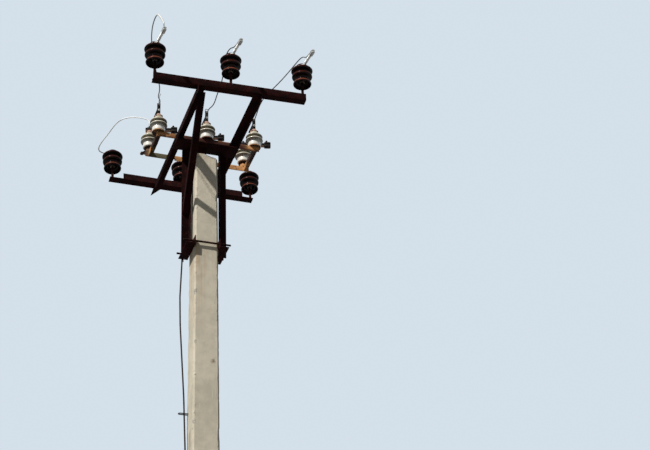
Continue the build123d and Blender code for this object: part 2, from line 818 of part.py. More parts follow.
jumper_right_keys = [
    clamp_right + Vector(-24, 150, 70),
    clamp_right + Vector(-30, 265, 112),
    clamp_right + Vector(-70, 345, 70),
    clamp_right + Vector(-157, 485, -12),
    Vector(right_x + 7, near_row_y - 208, tie_z + 10),
]
# The far one starts in the groove of the far left insulator and ends over the left blade
groove_place = far_pins[0] * Pos(0, 0, far_pin_stand + bell_h * groove_height)
groove_wire_r = bell_r * groove_size + jumper_diameter / 2 - jumper_sink
groove_start = (groove_place * Pos(0, groove_wire_r, 0)).position
stud_x = far_phases[0]
stud_top_z = blade_top_z + head_stud_height
jumper_far_left_keys = [
    (stud_x - 350, far_row_y + 380, tie_z - 60),
    (stud_x - 288, far_row_y + 318, tie_z + 29),
    (stud_x - 201, far_row_y + 198, tie_z + 125),
    (stud_x - 116, far_row_y + 148, tie_z + 128),
    (stud_x - 40, far_row_y + 80, tie_z + 84),
]


def wire_route(start, start_way, keys, end, end_way):
    """Corner points of a wire: a straight run at each end, and even runs along a curve between."""
    first = start + start_way * jumper_end_run
    last = end - end_way * jumper_end_run
    with BuildLine() as guide:
        curve = Spline(first, *keys, last)
    count = ceil(guide.line.edge().length / jumper_run)
    return [start] + [curve @ (step / count) for step in range(count + 1)] + [end]


def corner_radii(points):
    """Radius at each corner: 0.45 of the shorter run over the tangent of half the turn."""
    runs = [b - a for a, b in zip(points, points[1:])]
    radii = []
    for one, two in zip(runs, runs[1:]):
        turn = radians(max(one.get_angle(two), 0.5))
        radii.append(0.45 * min(one.length, two.length) / tan(turn / 2))
    return radii


back_way = clamp_point(Rot(0, 0, near_arm_yaw + tie_turn), 0, 0) * (-1 / tie_reach)
back_way = Vector(back_way.X, back_way.Y, 0)
back_start = [
    clamp_point(place, -tie_clamp_width * 0.32, tie_clamp_height * 0.32)
    + back_way * (tie_clamp_length / 2)
    for place in tie_places
]
routes = {}
for side, start, way, keys, end_x in (
    ("left", clamp_left + up * (tie_clamp_height / 2), up, jumper_left_keys, left_x),
    ("middle", back_start[1], back_way, jumper_middle_keys, middle_x),
    ("right", back_start[2], back_way, jumper_right_keys, right_x),
):
    start = start + way * seat_gap
    routes[side] = wire_route(start, way, keys, Vector(end_x, lug_wire_y, lug_wire_z), away)
routes["far_left"] = wire_route(
    groove_start,
    leftward,
    jumper_far_left_keys,
    Vector(stud_x, far_row_y, stud_top_z + seat_gap),
    down,
)
for side, points in routes.items():
    radii = corner_radii(points)
    with BuildPart() as jumper:
        with BuildLine() as jumper_path:
            FilletPolyline(*points, radius=radii)
        with BuildSketch(Plane(jumper_path.line @ 0, z_dir=jumper_path.line % 0)):
            Circle(jumper_diameter / 2)
        sweep()
    save(jumper, f"jumper_{side}")
    wire_length = sum(edge.length for edge in jumper_path.edges())
    share = jumper.part.volume / (wire_length * pi * jumper_diameter**2 / 4)
    print(f"jumper_{side}: length {wire_length:.0f} mm, volume share {share:.4f}")
    print("  runs", [round((b - a).length) for a, b in zip(points, points[1:])])
    print("  radii", [round(value) for value in radii])
    print("  points", [tuple(round(value, 1) for value in point) for point in points])
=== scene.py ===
import json
import logging
import math
from dataclasses import dataclass, field
from enum import Enum
from functools import partial, reduce
from typing import Callable, Iterable, Sequence

import bmesh
import bpy
import numpy as np
from mathutils import Matrix, Vector

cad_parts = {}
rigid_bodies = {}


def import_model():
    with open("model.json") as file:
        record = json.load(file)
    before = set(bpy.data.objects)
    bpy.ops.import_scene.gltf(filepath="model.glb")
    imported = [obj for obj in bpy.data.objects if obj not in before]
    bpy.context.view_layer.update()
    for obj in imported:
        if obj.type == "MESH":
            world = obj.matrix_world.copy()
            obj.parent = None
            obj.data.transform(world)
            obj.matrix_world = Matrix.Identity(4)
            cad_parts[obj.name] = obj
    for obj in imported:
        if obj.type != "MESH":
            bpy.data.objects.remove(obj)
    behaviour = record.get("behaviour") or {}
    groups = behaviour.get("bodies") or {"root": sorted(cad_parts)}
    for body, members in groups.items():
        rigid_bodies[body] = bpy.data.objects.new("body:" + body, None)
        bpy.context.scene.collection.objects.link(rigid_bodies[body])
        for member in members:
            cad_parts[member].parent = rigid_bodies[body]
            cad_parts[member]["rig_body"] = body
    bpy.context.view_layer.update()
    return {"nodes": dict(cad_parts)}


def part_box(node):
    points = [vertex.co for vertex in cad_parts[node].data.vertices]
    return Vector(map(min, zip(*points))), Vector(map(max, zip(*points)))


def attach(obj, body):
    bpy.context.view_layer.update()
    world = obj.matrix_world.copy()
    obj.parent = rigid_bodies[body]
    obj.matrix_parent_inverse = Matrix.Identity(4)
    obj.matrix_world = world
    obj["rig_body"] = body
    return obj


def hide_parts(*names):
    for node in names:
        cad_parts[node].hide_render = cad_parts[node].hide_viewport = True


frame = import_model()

Array = np.ndarray
Colour = tuple[float, float, float]
Point = tuple[float, float, float]
# low, rise, fall and high, as Value.band takes them
Band = tuple[float, float, float, float]
log = logging.getLogger("pole")


# Shader graph
class Value:
    """A shader socket that can be used in Python arithmetic."""

    def __init__(self, graph: "Nodes", socket: bpy.types.NodeSocket) -> None:
        """Keep the graph that the socket belongs to, and the socket."""
        self.graph = graph
        self.socket = socket

    def __add__(self, other: "Value | float") -> "Value":
        """Sum of two values."""
        return self.graph.maths("ADD", self, other)

    __radd__ = __add__

    def __sub__(self, other: "Value | float") -> "Value":
        """This value less the other."""
        return self.graph.maths("SUBTRACT", self, other)

    def __rsub__(self, other: float) -> "Value":
        """A number less this value."""
        return self.graph.maths("SUBTRACT", other, self)

    def __mul__(self, other: "Value | float") -> "Value":
        """Product of two values."""
        return self.graph.maths("MULTIPLY", self, other)

    __rmul__ = __mul__

    def __truediv__(self, other: "Value | float") -> "Value":
        """This value over the other."""
        return self.graph.maths("DIVIDE", self, other)

    def least(self, other: "Value | float") -> "Value":
        """The smaller of two values."""
        return self.graph.maths("MINIMUM", self, other)

    def most(self, other: "Value | float") -> "Value":
        """The larger of two values."""
        return self.graph.maths("MAXIMUM", self, other)

    def step(self, low: float, high: float) -> "Value":
        """Smooth rise from 0 at low to 1 at high."""
        node = self.graph.node(
            "MapRange",
            {"interpolation_type": "SMOOTHSTEP"},
            {"Value": self, "From Min": low, "From Max": high},
        )
        return Value(self.graph, node.outputs[0])

    def fall(self, low: float, high: float) -> "Value":
        """Smooth fall from 1 at low to 0 at high."""
        return 1.0 - self.step(low, high)

    def band(self, low: float, rise: float, fall: float, high: float) -> "Value":
        """1 from rise to fall, going smoothly to 0 at low and at high."""
        return self.step(low, rise) * self.fall(fall, high)


class Nodes:
    """A node tree, of a material or of the world, with one method that adds nodes to it."""

    def __init__(self, tree: bpy.types.NodeTree) -> None:
        """Keep the tree."""
        self.tree = tree

    def node(self, kind: str, settings: dict | None = None, sockets: dict | None = None) -> bpy.types.Node:
        """Add a node.

        Args:
            kind: node type without its ShaderNode prefix.
            settings: properties, which are set first.
            sockets: input name or identifier to a number, colour or Value.

        Returns:
            The new node.
        """
        node = self.tree.nodes.new("ShaderNode" + kind)
        for key, value in (settings or {}).items():
            setattr(node, key, value)
        for key, value in (sockets or {}).items():
            socket = self.find(node, key)
            if isinstance(value, Value):
                self.tree.links.new(value.socket, socket)
            elif isinstance(value, tuple) and len(value) == 3 and len(socket.default_value) == 4:
                socket.default_value = (*value, 1.0)
            else:
                socket.default_value = value
        return node

    @staticmethod
    def find(node: bpy.types.Node, key: str | int) -> bpy.types.NodeSocket:
        """Input of a node by its place, identifier or name."""
        if isinstance(key, int):
            return node.inputs[key]
        for socket in node.inputs:
            if socket.identifier == key:
                return socket
        return node.inputs[key]

    def direct(self) -> Value:
        """1 for camera, glossy and transmission rays, 0 for those that carry light to matt surfaces."""
        rays = self.node("LightPath").outputs
        return (
            Value(self, rays["Is Camera Ray"])
            .most(Value(self, rays["Is Glossy Ray"]))
            .most(Value(self, rays["Is Transmission Ray"]))
        )

    def maths(self, operation: str, one: "Value | float", two: "Value | float" = 0.0) -> Value:
        """One Math node on two values."""
        node = self.node("Math", {"operation": operation}, {0: one, 1: two})
        return Value(self, node.outputs[0])


class Graph(Nodes):
    """The node graph of one material, with its Principled shader."""

    def __init__(self, name: str) -> None:
        """Start a material of that name, with nothing but its shader and output."""
        self.material = bpy.data.materials.new(name)
        self.material.use_nodes = True
        super().__init__(self.material.node_tree)
        self.shader = self.tree.nodes["Principled BSDF"]
        place = self.node("TexCoord")
        self.position = Value(self, place.outputs["Object"])

    def stretch(
        self,
        scale: Point,
        turn: Point = (0.0, 0.0, 0.0),
        shift: Point = (0.0, 0.0, 0.0),
    ) -> Value:
        """Object coordinates, turned and scaled along each axis."""
        sockets = {"Vector": self.position, "Scale": scale, "Rotation": turn, "Location": shift}
        return Value(self, self.node("Mapping", None, sockets).outputs[0])

    def noise(self, scale: float, detail: float = 4.0, rough: float = 0.55, at: Value | None = None) -> Value:
        """Fractal noise from 0 to 1, that many cells to the metre."""
        node = self.node(
            "TexNoise",
            None,
            {"Vector": at or self.position, "Scale": scale, "Detail": detail, "Roughness": rough},
        )
        return Value(self, node.outputs[0])

    def cells(self, scale: float, feature: str = "F1", at: Value | None = None) -> Value:
        """Distance to the middle, or to the edge, of the nearest cell."""
        node = self.node("TexVoronoi", {"feature": feature}, {"Vector": at or self.position, "Scale": scale})
        return Value(self, node.outputs["Distance"])

    def axis(self, index: int) -> Value:
        """One object coordinate, in metres."""
        node = self.node("SeparateXYZ", None, {0: self.position})
        return Value(self, node.outputs[index])

    def attribute(self, name: str) -> Value:
        """A number stored on the piece's own vertices."""
        node = self.node("Attribute", {"attribute_name": name})
        return Value(self, node.outputs["Fac"])

    def near(self, centre: Point, inner: float, outer: float) -> Value:
        """1 within inner metres of a point, falling to 0 at outer metres."""
        node = self.node("VectorMath", {"operation": "DISTANCE"}, {0: self.position, 1: centre})
        return Value(self, node.outputs["Value"]).fall(inner, outer)

    def mix(self, one: "Value | Colour", two: "Value | Colour", share: "Value | float") -> Value:
        """Colour one, going over to colour two as share goes from 0 to 1."""
        sockets = {"Factor_Float": share, "A_Color": one, "B_Color": two}
        return Value(self, self.node("Mix", {"data_type": "RGBA"}, sockets).outputs[2])

    def set(self, **sockets: "Value | float | Colour") -> None:
        """Set or link the shader's own sockets, spaces written as underscores."""
        for key, value in sockets.items():
            socket = self.shader.inputs[key.replace("_", " ")]
            if isinstance(value, Value):
                self.tree.links.new(value.socket, socket)
            elif isinstance(value, tuple):
                socket.default_value = (*value, 1.0)
            else:
                socket.default_value = value

    def relief(self, *layers: tuple[Value, float]) -> None:
        """Bumps laid over each other; each is a height from 0 to 1 and its depth in metres."""
        normal = None
        for height, depth in layers:
            sockets: dict = {"Height": height, "Distance": depth}
            if normal is not None:
                sockets["Normal"] = normal
            normal = Value(self, self.node("Bump", None, sockets).outputs[0])
        self.set(Normal=normal)


# Finishes
@dataclass(frozen=True)
class Finish:
    """A named surface finish that makes its material once."""

    name: str

    def paint(self, g: Graph) -> None:
        """Build the nodes of the finish in a graph."""
        raise NotImplementedError

    def material(self) -> bpy.types.Material:
        """The finish's material, made when it is first asked for."""
        found = bpy.data.materials.get(self.name)
        if found is None:
            graph = Graph(self.name)
            self.paint(graph)
            found = graph.material
        return found


@dataclass(frozen=True)
class Concrete(Finish):
    """Cast concrete: fine grain, small air holes, soft mottling, run-off stains."""

    pale: Colour = (0.60, 0.55, 0.44)
    deep: Colour = (0.47, 0.43, 0.34)
    broken: Colour = (0.50, 0.48, 0.42)
    rust: Colour = (0.42, 0.24, 0.10)
    sand: Colour = (0.36, 0.33, 0.27)
    damp: Colour = (0.33, 0.31, 0.26)
    lime: Colour = (0.72, 0.69, 0.60)
    scar: Colour = (0.10, 0.045, 0.02)
    moss: Colour = (0.20, 0.19, 0.14)
    hole: Colour = (0.17, 0.16, 0.13)
    stone: Colour = (0.30, 0.27, 0.23)
    # heights of the rust shed under the clamp and of the scar on the side, in metres
    below_clamp: Band = (7.05, 7.92, 7.93, 8.02)
    scar_front: Point = (0.051, -0.094, 6.948)
    scar_side: Band = (6.20, 6.30, 6.36, 6.42)

    def paint(self, g: Graph) -> None:
        """Mottled beige, with streaks, rust under the clamp and aggregate where broken."""
        x, y, z = (g.axis(index) for index in range(3))
        broad = g.noise(2.6, 5.0, 0.6)
        cloudy = g.noise(13.0, 6.0, 0.65)
        grain = g.noise(420.0, 3.0, 0.7)
        colour = g.mix(self.deep, self.pale, (broad * 0.6 + cloudy * 0.5).step(0.40, 0.68))
        colour = g.mix(colour, self.sand, grain.step(0.60, 0.80) * 0.45)
        runs = g.noise(1.0, 5.0, 0.6, g.stretch((34.0, 34.0, 1.3)))
        colour = g.mix(colour, self.damp, runs.step(0.57, 0.78) * 0.35)
        chalk = g.noise(1.0, 4.0, 0.6, g.stretch((60.0, 60.0, 4.0), shift=(3.0, 1.0, 7.0)))
        colour = g.mix(colour, self.lime, chalk.step(0.62, 0.74) * 0.35)
        # rust that the head has shed down the faces, strongest under the clamp
        thread = g.noise(1.0, 4.0, 0.65, g.stretch((46.0, 46.0, 2.2), shift=(1.0, 5.0, 2.0)))
        left = x.fall(-0.075, 0.02)
        stain = thread.step(0.40, 0.62) * z.band(*self.below_clamp) * (left * 0.8 + 0.2)
        colour = g.mix(colour, self.rust, stain.least(1.0) * 0.55)
        crown = z.step(8.55, 8.83) * thread.step(0.50, 0.66)
        colour = g.mix(colour, self.rust, crown * 0.28)
        # two brown scars, one on the front face and one down the left side
        brown = g.noise(70.0, 4.0, 0.7)
        mark = g.near(self.scar_front, 0.004, 0.030) * brown.step(0.30, 0.60)
        streak = y.band(-0.034, -0.018, -0.018, 0.004) * z.band(*self.scar_side) * x.fall(-0.1, -0.05)
        colour = g.mix(colour, self.scar, mark.most(streak * brown.step(0.2, 0.5)) * 0.9)
        foot = z.fall(0.05, 0.55) * cloudy.step(0.30, 0.62)
        colour = g.mix(colour, self.moss, foot * 0.55)
        holes = g.cells(62.0) + g.noise(22.0, 2.0) * 0.30
        pit = holes.fall(0.15, 0.27)
        colour = g.mix(colour, self.hole, pit * 0.7)
        fracture = g.attribute("broken")
        stones = g.cells(75.0)
        chips = g.mix(self.broken, self.stone, stones.step(0.2, 0.55) * 0.8)
        colour = g.mix(colour, chips, fracture.step(0.2, 0.6))
        g.set(Base_Color=colour, Roughness=0.86 + grain * 0.12 - 0.06)
        g.relief(
            (cloudy, 0.0022),
            (grain, 0.0011),
            (1.0 - pit, 0.0018),
            (stones * fracture, 0.006),
        )


@dataclass(frozen=True)
class RustySteel(Finish):
    """Old rolled steel: dark oxide with redder scale, flaking and run-off; its default colours are darker
    than the oxide, with shade painted in.
    """

    # partly dark oxide, partly painted shade: darker than the rusty steel alone
    dark: Colour = (0.0045, 0.0012, 0.0013)
    brown: Colour = (0.0160, 0.0032, 0.0031)
    red: Colour = (0.0400, 0.0066, 0.0052)
    bright: Colour = (0.090, 0.023, 0.0115)
    crack: Colour = (0.012, 0.008, 0.008)

    def paint(self, g: Graph) -> None:
        """Layers of scale from near black to red-brown, with pitted relief."""
        broad = g.noise(5.0, 4.0, 0.6)
        patch = g.noise(24.0, 6.0, 0.66)
        scale = g.noise(120.0, 5.0, 0.7)
        grain = g.noise(650.0, 3.0, 0.7)
        runs = g.noise(1.0, 4.0, 0.6, g.stretch((55.0, 55.0, 5.0)))
        colour = g.mix(self.dark, self.brown, (broad * 0.5 + patch * 0.6).step(0.42, 0.66))
        colour = g.mix(colour, self.red, (patch * 0.55 + scale * 0.5).step(0.52, 0.68) * 0.85)
        colour = g.mix(colour, self.dark, runs.step(0.55, 0.72) * 0.65)
        colour = g.mix(colour, self.bright, (scale * 0.6 + broad * 0.45).step(0.60, 0.70) * 0.6)
        flake = g.cells(160.0)
        colour = g.mix(colour, self.crack, flake.fall(0.10, 0.30) * 0.5)
        g.set(Base_Color=colour, Roughness=0.74 + patch * 0.22, Specular_IOR_Level=0.04)
        g.relief((patch, 0.0012), (scale, 0.0010), (grain, 0.0004), (flake, 0.0005))


@dataclass(frozen=True)
class OrangeRust(Finish):
    """The disconnector frame: orange rust over old paint that is left in places."""

    dark: Colour = (0.018, 0.0075, 0.0050)
    rust: Colour = (0.085, 0.026, 0.0130)
    orange: Colour = (0.200, 0.066, 0.0260)
    paint_left: Colour = (0.62, 0.315, 0.125)
    olive: Colour = (0.150, 0.140, 0.085)
    # colour of the painted shade on the near beam
    shaded_maroon: Colour = (0.038, 0.0085, 0.0058)
    painted_shade: Colour = (0.010, 0.0046, 0.0036)
    # share of painted shade on the lowest faces, those below z = 8.9985 m
    under: float = 0.0
    # where paint is left: centre, radius within which it is whole, radius at which it ends, share
    remains: tuple[tuple[Point, float, float, float], ...] = (
        ((-0.385, -0.05, 8.985), 0.05, 0.14, 1.0),
        ((-0.25, -0.06, 8.985), 0.03, 0.13, 0.45),
        ((0.15, -0.06, 8.997), 0.02, 0.10, 0.35),
        ((0.42, -0.05, 8.985), 0.05, 0.15, 1.0),
        ((-0.12, 0.25, 8.985), 0.05, 0.13, 1.0),
        ((0.35, 0.26, 8.985), 0.07, 0.20, 1.0),
    )
    # along Y and X, in metres: where shade is painted on the end beams, and on the near beam between the
    # chords
    shaded_end_beams: Band = (-0.052, -0.030, 0.215, 0.238)
    shaded_near_beam_span: Band = (-0.27, -0.20, 0.31, 0.37)

    def paint(self, g: Graph) -> None:
        """Orange and brown rust, peach remains of paint by place, dark seams, painted shade on the end beams,
        the near beam and the feet's lowest faces, and a painted highlight streak on each end beam.
        """
        x, y, z = (g.axis(index) for index in range(3))
        broad = g.noise(7.0, 5.0, 0.6)
        patch = g.noise(30.0, 6.0, 0.66)
        scale = g.noise(140.0, 5.0, 0.7)
        grain = g.noise(700.0, 3.0, 0.7)
        colour = g.mix(self.dark, self.rust, (broad * 0.55 + patch * 0.5).step(0.40, 0.60))
        colour = g.mix(colour, self.orange, (patch * 0.6 + scale * 0.45).step(0.48, 0.62) * 0.9)
        spots = [g.near(centre, inner, outer) * share for centre, inner, outer, share in self.remains]
        warm = reduce(Value.most, spots)
        # painted shade: the end beams are painted dark, apart from one painted highlight streak each
        between = y.band(*self.shaded_end_beams)
        streak = g.near((-0.404, 0.19, 8.972), 0.02, 0.06).most(g.near((0.404, 0.20, 8.980), 0.02, 0.07))
        warm = (warm * (1.0 - between)).most(streak * 0.8)
        warm = warm * (1.0 - z.fall(8.958, 8.972) * 0.8 * y.fall(0.0, 0.2))
        colour = g.mix(colour, self.paint_left, warm * (patch * 0.6 + scale * 0.4).step(0.34, 0.50) * 0.92)
        drab = g.near((-0.30, 0.26, 8.985), 0.07, 0.15) * (broad * 0.4 + patch * 0.6).step(0.34, 0.52)
        colour = g.mix(colour, self.olive, drab * 0.9)
        # painted shade: the near beam is darkened to maroon between the chords, but not on top
        near_beam_shade = x.band(*self.shaded_near_beam_span) * y.fall(-0.02, 0.02) * z.fall(8.988, 8.994)
        colour = g.mix(colour, self.shaded_maroon, near_beam_shade * 0.85)
        flake = g.cells(190.0)
        colour = g.mix(colour, self.dark, flake.fall(0.12, 0.32) * 0.6)
        # painted shade on the end beams, apart from their highlight streaks, and on the lowest faces where
        # under is set
        shade_mask = (between * (1.0 - streak)).most(z.fall(8.9985, 9.0) * self.under)
        colour = g.mix(colour, self.painted_shade, shade_mask * 0.85)
        g.set(Base_Color=colour, Roughness=0.66 + patch * 0.28, Specular_IOR_Level=0.20)
        g.relief((patch, 0.0012), (scale, 0.0011), (grain, 0.0004), (flake, 0.0006))


@dataclass(frozen=True)
class BrownGlaze(Finish):
    """Glazed stoneware, near black brown, thinner and redder on rims and necks."""

    deep: Colour = (0.019, 0.0052, 0.0038)
    thin: Colour = (0.062, 0.015, 0.009)
    lit: Colour = (0.22, 0.066, 0.036)
    dusty: Colour = (0.085, 0.050, 0.036)
    pinhole: Colour = (0.004, 0.003, 0.003)
    painted_shade: Colour = (0.0030, 0.0016, 0.0013)
    # shares of the insulator's height between which its lowest shed's shoulder lies, where a highlight is
    # painted
    skirt: Band = (0.050, 0.075, 0.115, 0.145)

    def paint(self, g: Graph) -> None:
        """Gloss glaze whose colour follows the shape, with dust, fine orange peel, a painted highlight on the
        lowest shed's shoulder and painted shade on all that faces down.
        """
        rim = g.attribute("rim")
        pool = g.noise(16.0, 4.0, 0.6)
        fine = g.noise(240.0, 3.0, 0.6)
        colour = g.mix(self.deep, self.thin, (rim * 0.9 + pool * 0.5).step(0.42, 1.05))
        dust = g.noise(34.0, 6.0, 0.7)
        top = g.attribute("upward")
        dirt = (dust * 0.7 + top * 0.45).step(0.56, 0.86)
        colour = g.mix(colour, self.dusty, dirt * 0.35)
        speck = g.cells(210.0).fall(0.05, 0.14)
        colour = g.mix(colour, self.pinhole, speck * 0.5)
        # painted highlight on the skirt's shoulder, and painted shade on all that faces down
        shoulder_highlight = g.attribute("height").band(*self.skirt) * top.step(-0.25, 0.20)
        colour = g.mix(colour, self.lit, shoulder_highlight * (fine * 0.5 + 0.45))
        under = top.fall(-0.60, -0.10) * (1.0 - shoulder_highlight)
        colour = g.mix(colour, self.painted_shade, under * 0.9)
        g.set(Base_Color=colour, Roughness=0.17 + dirt * 0.38 + fine * 0.08, Coat_Weight=0.06 - dirt * 0.05)
        g.set(Coat_Roughness=0.06, IOR=1.45, Specular_IOR_Level=0.04)
        g.relief((pool, 0.0012), (fine, 0.0003))


@dataclass(frozen=True)
class PaleGlaze(Finish):
    """White porcelain with a warm glaze, greyed under and between the sheds with dirt and painted shade."""

    white: Colour = (0.74, 0.71, 0.64)
    cream: Colour = (0.55, 0.49, 0.36)
    # olive dirt, also used as painted shade under the sheds and in the necks
    dirt: Colour = (0.080, 0.074, 0.048)
    pinhole: Colour = (0.06, 0.05, 0.035)
    # shares of the column's height between which the necks are darkened with dirt and painted shade
    necks: Band = (0.36, 0.46, 0.94, 0.98)

    def paint(self, g: Graph) -> None:
        """Clean low body, beige ribs, olive dirt where rain does not wash, and olive dirt with painted shade
        under the sheds and in the necks.
        """
        height = g.attribute("height")
        top = g.attribute("upward")
        pool = g.noise(15.0, 4.0, 0.6)
        dust = g.noise(46.0, 6.0, 0.7)
        fine = g.noise(260.0, 3.0, 0.6)
        runs = g.noise(1.0, 5.0, 0.6, g.stretch((90.0, 90.0, 9.0)))
        colour = g.mix(self.white, self.cream, (height + pool * 0.3).step(0.42, 0.66))
        # partly dirt, partly painted shade: darker on faces turned down and in the necks of the ribbed top
        under = top.fall(-0.60, 0.05) * height.step(0.30, 0.38)
        neck = g.attribute("rim").fall(0.01, 0.16) * height.band(*self.necks)
        shade = under.most(neck * 0.62) * (dust * 0.5 + 0.66)
        colour = g.mix(colour, self.dirt, shade.least(1.0) * 0.92)
        colour = g.mix(colour, self.dirt, (dust * 0.5 + runs * 0.55).step(0.55, 0.75) * 0.42)
        speck = g.cells(170.0).fall(0.05, 0.13)
        colour = g.mix(colour, self.pinhole, speck * 0.55)
        g.set(Base_Color=colour, Roughness=0.20 + dust * 0.32, Coat_Weight=0.85 - under * 0.6)
        g.set(Coat_Roughness=0.08, IOR=1.5)
        g.relief((pool, 0.0010), (fine, 0.0003))


@dataclass(frozen=True)
class CapMetal(Finish):
    """Cast caps with a worn pinkish primer over rust."""

    primer: Colour = (0.43, 0.270, 0.205)
    rust: Colour = (0.20, 0.085, 0.042)
    pit: Colour = (0.05, 0.025, 0.016)

    def paint(self, g: Graph) -> None:
        """Primer that goes to rust in patches, with a cast skin."""
        patch = g.noise(55.0, 6.0, 0.68)
        grain = g.noise(420.0, 4.0, 0.7)
        colour = g.mix(self.primer, self.rust, (patch * 0.7 + grain * 0.35).step(0.46, 0.66))
        colour = g.mix(colour, self.pit, g.cells(230.0).fall(0.1, 0.3) * 0.5)
        g.set(Base_Color=colour, Roughness=0.62 + patch * 0.28)
        g.relief((patch, 0.0010), (grain, 0.0007))


@dataclass(frozen=True)
class WornMetal(Finish):
    """Bare or thinly oxidised metal with a dull film, scuffs and rust specks."""

    film: Colour = (0.0070, 0.0055, 0.0050)
    bare: Colour = (0.024, 0.019, 0.017)
    rust: Colour = (0.060, 0.020, 0.011)
    metal: float = 0.30
    rough: float = 0.50
    gloss: float = 0.14

    def paint(self, g: Graph) -> None:
        """Film over metal, thinner in clouds and along fine scratches."""
        cloud = g.noise(36.0, 6.0, 0.65)
        grain = g.noise(520.0, 3.0, 0.7)
        brush = g.noise(1.0, 3.0, 0.6, g.stretch((900.0, 60.0, 900.0), (0.0, 0.0, 0.24)))
        wear = (cloud * 0.75 + brush * 0.3).step(0.45, 0.66)
        colour = g.mix(self.film, self.bare, wear)
        specks = (grain * 0.6 + cloud * 0.45).step(0.60, 0.68)
        colour = g.mix(colour, self.rust, specks * 0.7)
        g.set(Base_Color=colour, Metallic=self.metal - specks * self.metal)
        g.set(Roughness=self.rough + cloud * 0.3, Specular_IOR_Level=self.gloss)
        g.relief((cloud, 0.0006), (grain, 0.0003))


@dataclass(frozen=True)
class WireMetal(Finish):
    """Weathered stranded wire: grey film, brighter on the crowns of the strands."""

    film: Colour = (0.13, 0.13, 0.128)
    bright: Colour = (0.52, 0.52, 0.51)
    groove: Colour = (0.028, 0.026, 0.024)
    metal: float = 0.6

    def paint(self, g: Graph) -> None:
        """Strand crowns rubbed bright, grooves dark with dirt."""
        crown = g.attribute("crown")
        cloud = g.noise(28.0, 5.0, 0.65)
        grain = g.noise(600.0, 3.0, 0.7)
        colour = g.mix(self.film, self.bright, (crown * 0.75 + cloud * 0.45).step(0.40, 0.95))
        colour = g.mix(self.groove, colour, crown.step(0.02, 0.40) * 0.9 + 0.1)
        g.set(Base_Color=colour, Metallic=self.metal, Roughness=0.34 + grain * 0.3)
        g.relief((grain, 0.0003))


@dataclass(frozen=True)
class Studio(Finish):
    """Plain matt floor of the studio: pale to the camera, darker as a source of bounced light."""

    tone: Colour = (0.60, 0.61, 0.61)
    cloudy: Colour = (0.55, 0.56, 0.565)
    bounce: Colour = (0.15, 0.15, 0.145)

    def paint(self, g: Graph) -> None:
        """Even pale tone with a trace of mottling."""
        cloud = g.noise(0.7, 3.0)
        pale = g.mix(self.tone, self.cloudy, cloud.step(0.35, 0.7))
        g.set(Base_Color=g.mix(self.bounce, pale, g.direct()), Roughness=0.95)


CONCRETE = Concrete("concrete_cast")
ANGLE = RustySteel("steel_rusty_angle_shaded")
PIN = RustySteel("steel_rusty_pin", brown=(0.038, 0.016, 0.012), red=(0.06, 0.022, 0.014))
FRAME = OrangeRust("steel_orange_rust")
# the column feet, with painted shade on their lowest faces
FEET = OrangeRust("steel_orange_feet_shaded", under=1.0)
GLAZE = BrownGlaze("glaze_brown")
PORCELAIN = PaleGlaze("porcelain_pale")
CAP = CapMetal("cap_primer")
BLADE = WornMetal("contact_dark")
CASTING = WornMetal(
    "casting_dark", film=(0.020, 0.011, 0.0085), bare=(0.062, 0.030, 0.020), metal=0.1, rough=0.65
)
ROD = WornMetal("rod_dark", film=(0.016, 0.010, 0.0085), bare=(0.045, 0.026, 0.020), metal=0.15, rough=0.6)
BOLT = WornMetal("bolt_zinc", film=(0.34, 0.33, 0.31), bare=(0.62, 0.60, 0.57), metal=0.75, rough=0.3)
NUT = RustySteel("nut_rusty", brown=(0.07, 0.028, 0.018), red=(0.12, 0.042, 0.022))
# grey wire painted much darker, as shade, for the jumpers and the wire ends
SHADED_WIRE = WireMetal("wire_grey_painted_shade", film=(0.026, 0.027, 0.028), bright=(0.19, 0.19, 0.185), metal=0.25)
SILVER = WireMetal("wire_silver", film=(0.30, 0.30, 0.29), bright=(0.78, 0.78, 0.76), metal=0.30)
CLAMP = WornMetal("clamp_alloy", film=(0.30, 0.295, 0.28), bare=(0.68, 0.675, 0.66), metal=0.40, rough=0.36)
# cement painted near black, as shade inside the insulators' hollows
SHADED_CEMENT = Concrete("cement_painted_shade", pale=(0.050, 0.044, 0.036), deep=(0.026, 0.023, 0.020))


# Surfaces
HASH_FACTORS = (73856093, 19349663, 83492791)
SEED_FACTOR = 2654435
MIX_FACTOR = 1274126177


def lattice_noise(points: Array, cell: float, seed: int) -> Array:
    """Smooth noise from 0 to 1.

    Each corner of a grid of cubes gets a number from a hash of its whole
    coordinates, and a point takes the eight numbers round it, weighted by
    3t^2 - 2t^3 along each axis.

    Args:
        points: (..., 3) positions in metres.
        cell: size of a cube in metres.
        seed: which noise.

    Returns:
        The noise at each point.
    """
    place = points / cell
    base = np.floor(place).astype(np.int64)
    t = place - base
    t = t * t * (3.0 - 2.0 * t)
    total = np.zeros(points.shape[:-1])
    for corner in range(8):
        bits = np.array([corner & 1, corner >> 1 & 1, corner >> 2 & 1])
        x, y, z = ((base[..., axis] + bits[axis]) * factor for axis, factor in enumerate(HASH_FACTORS))
        mixed = x ^ y ^ z ^ (seed * SEED_FACTOR)
        mixed = ((mixed ^ (mixed >> 13)) * MIX_FACTOR) & 0x7FFFFFFF
        value = ((mixed ^ (mixed >> 16)) & 0xFFFF) / 65535.0
        total += value * np.prod(np.where(bits == 1, t, 1.0 - t), axis=-1)
    return total


def unit(vectors: Array) -> Array:
    """Vectors scaled to length one, along the last axis."""
    size = np.linalg.norm(vectors, axis=-1, keepdims=True)
    return vectors / np.maximum(size, 1e-12)


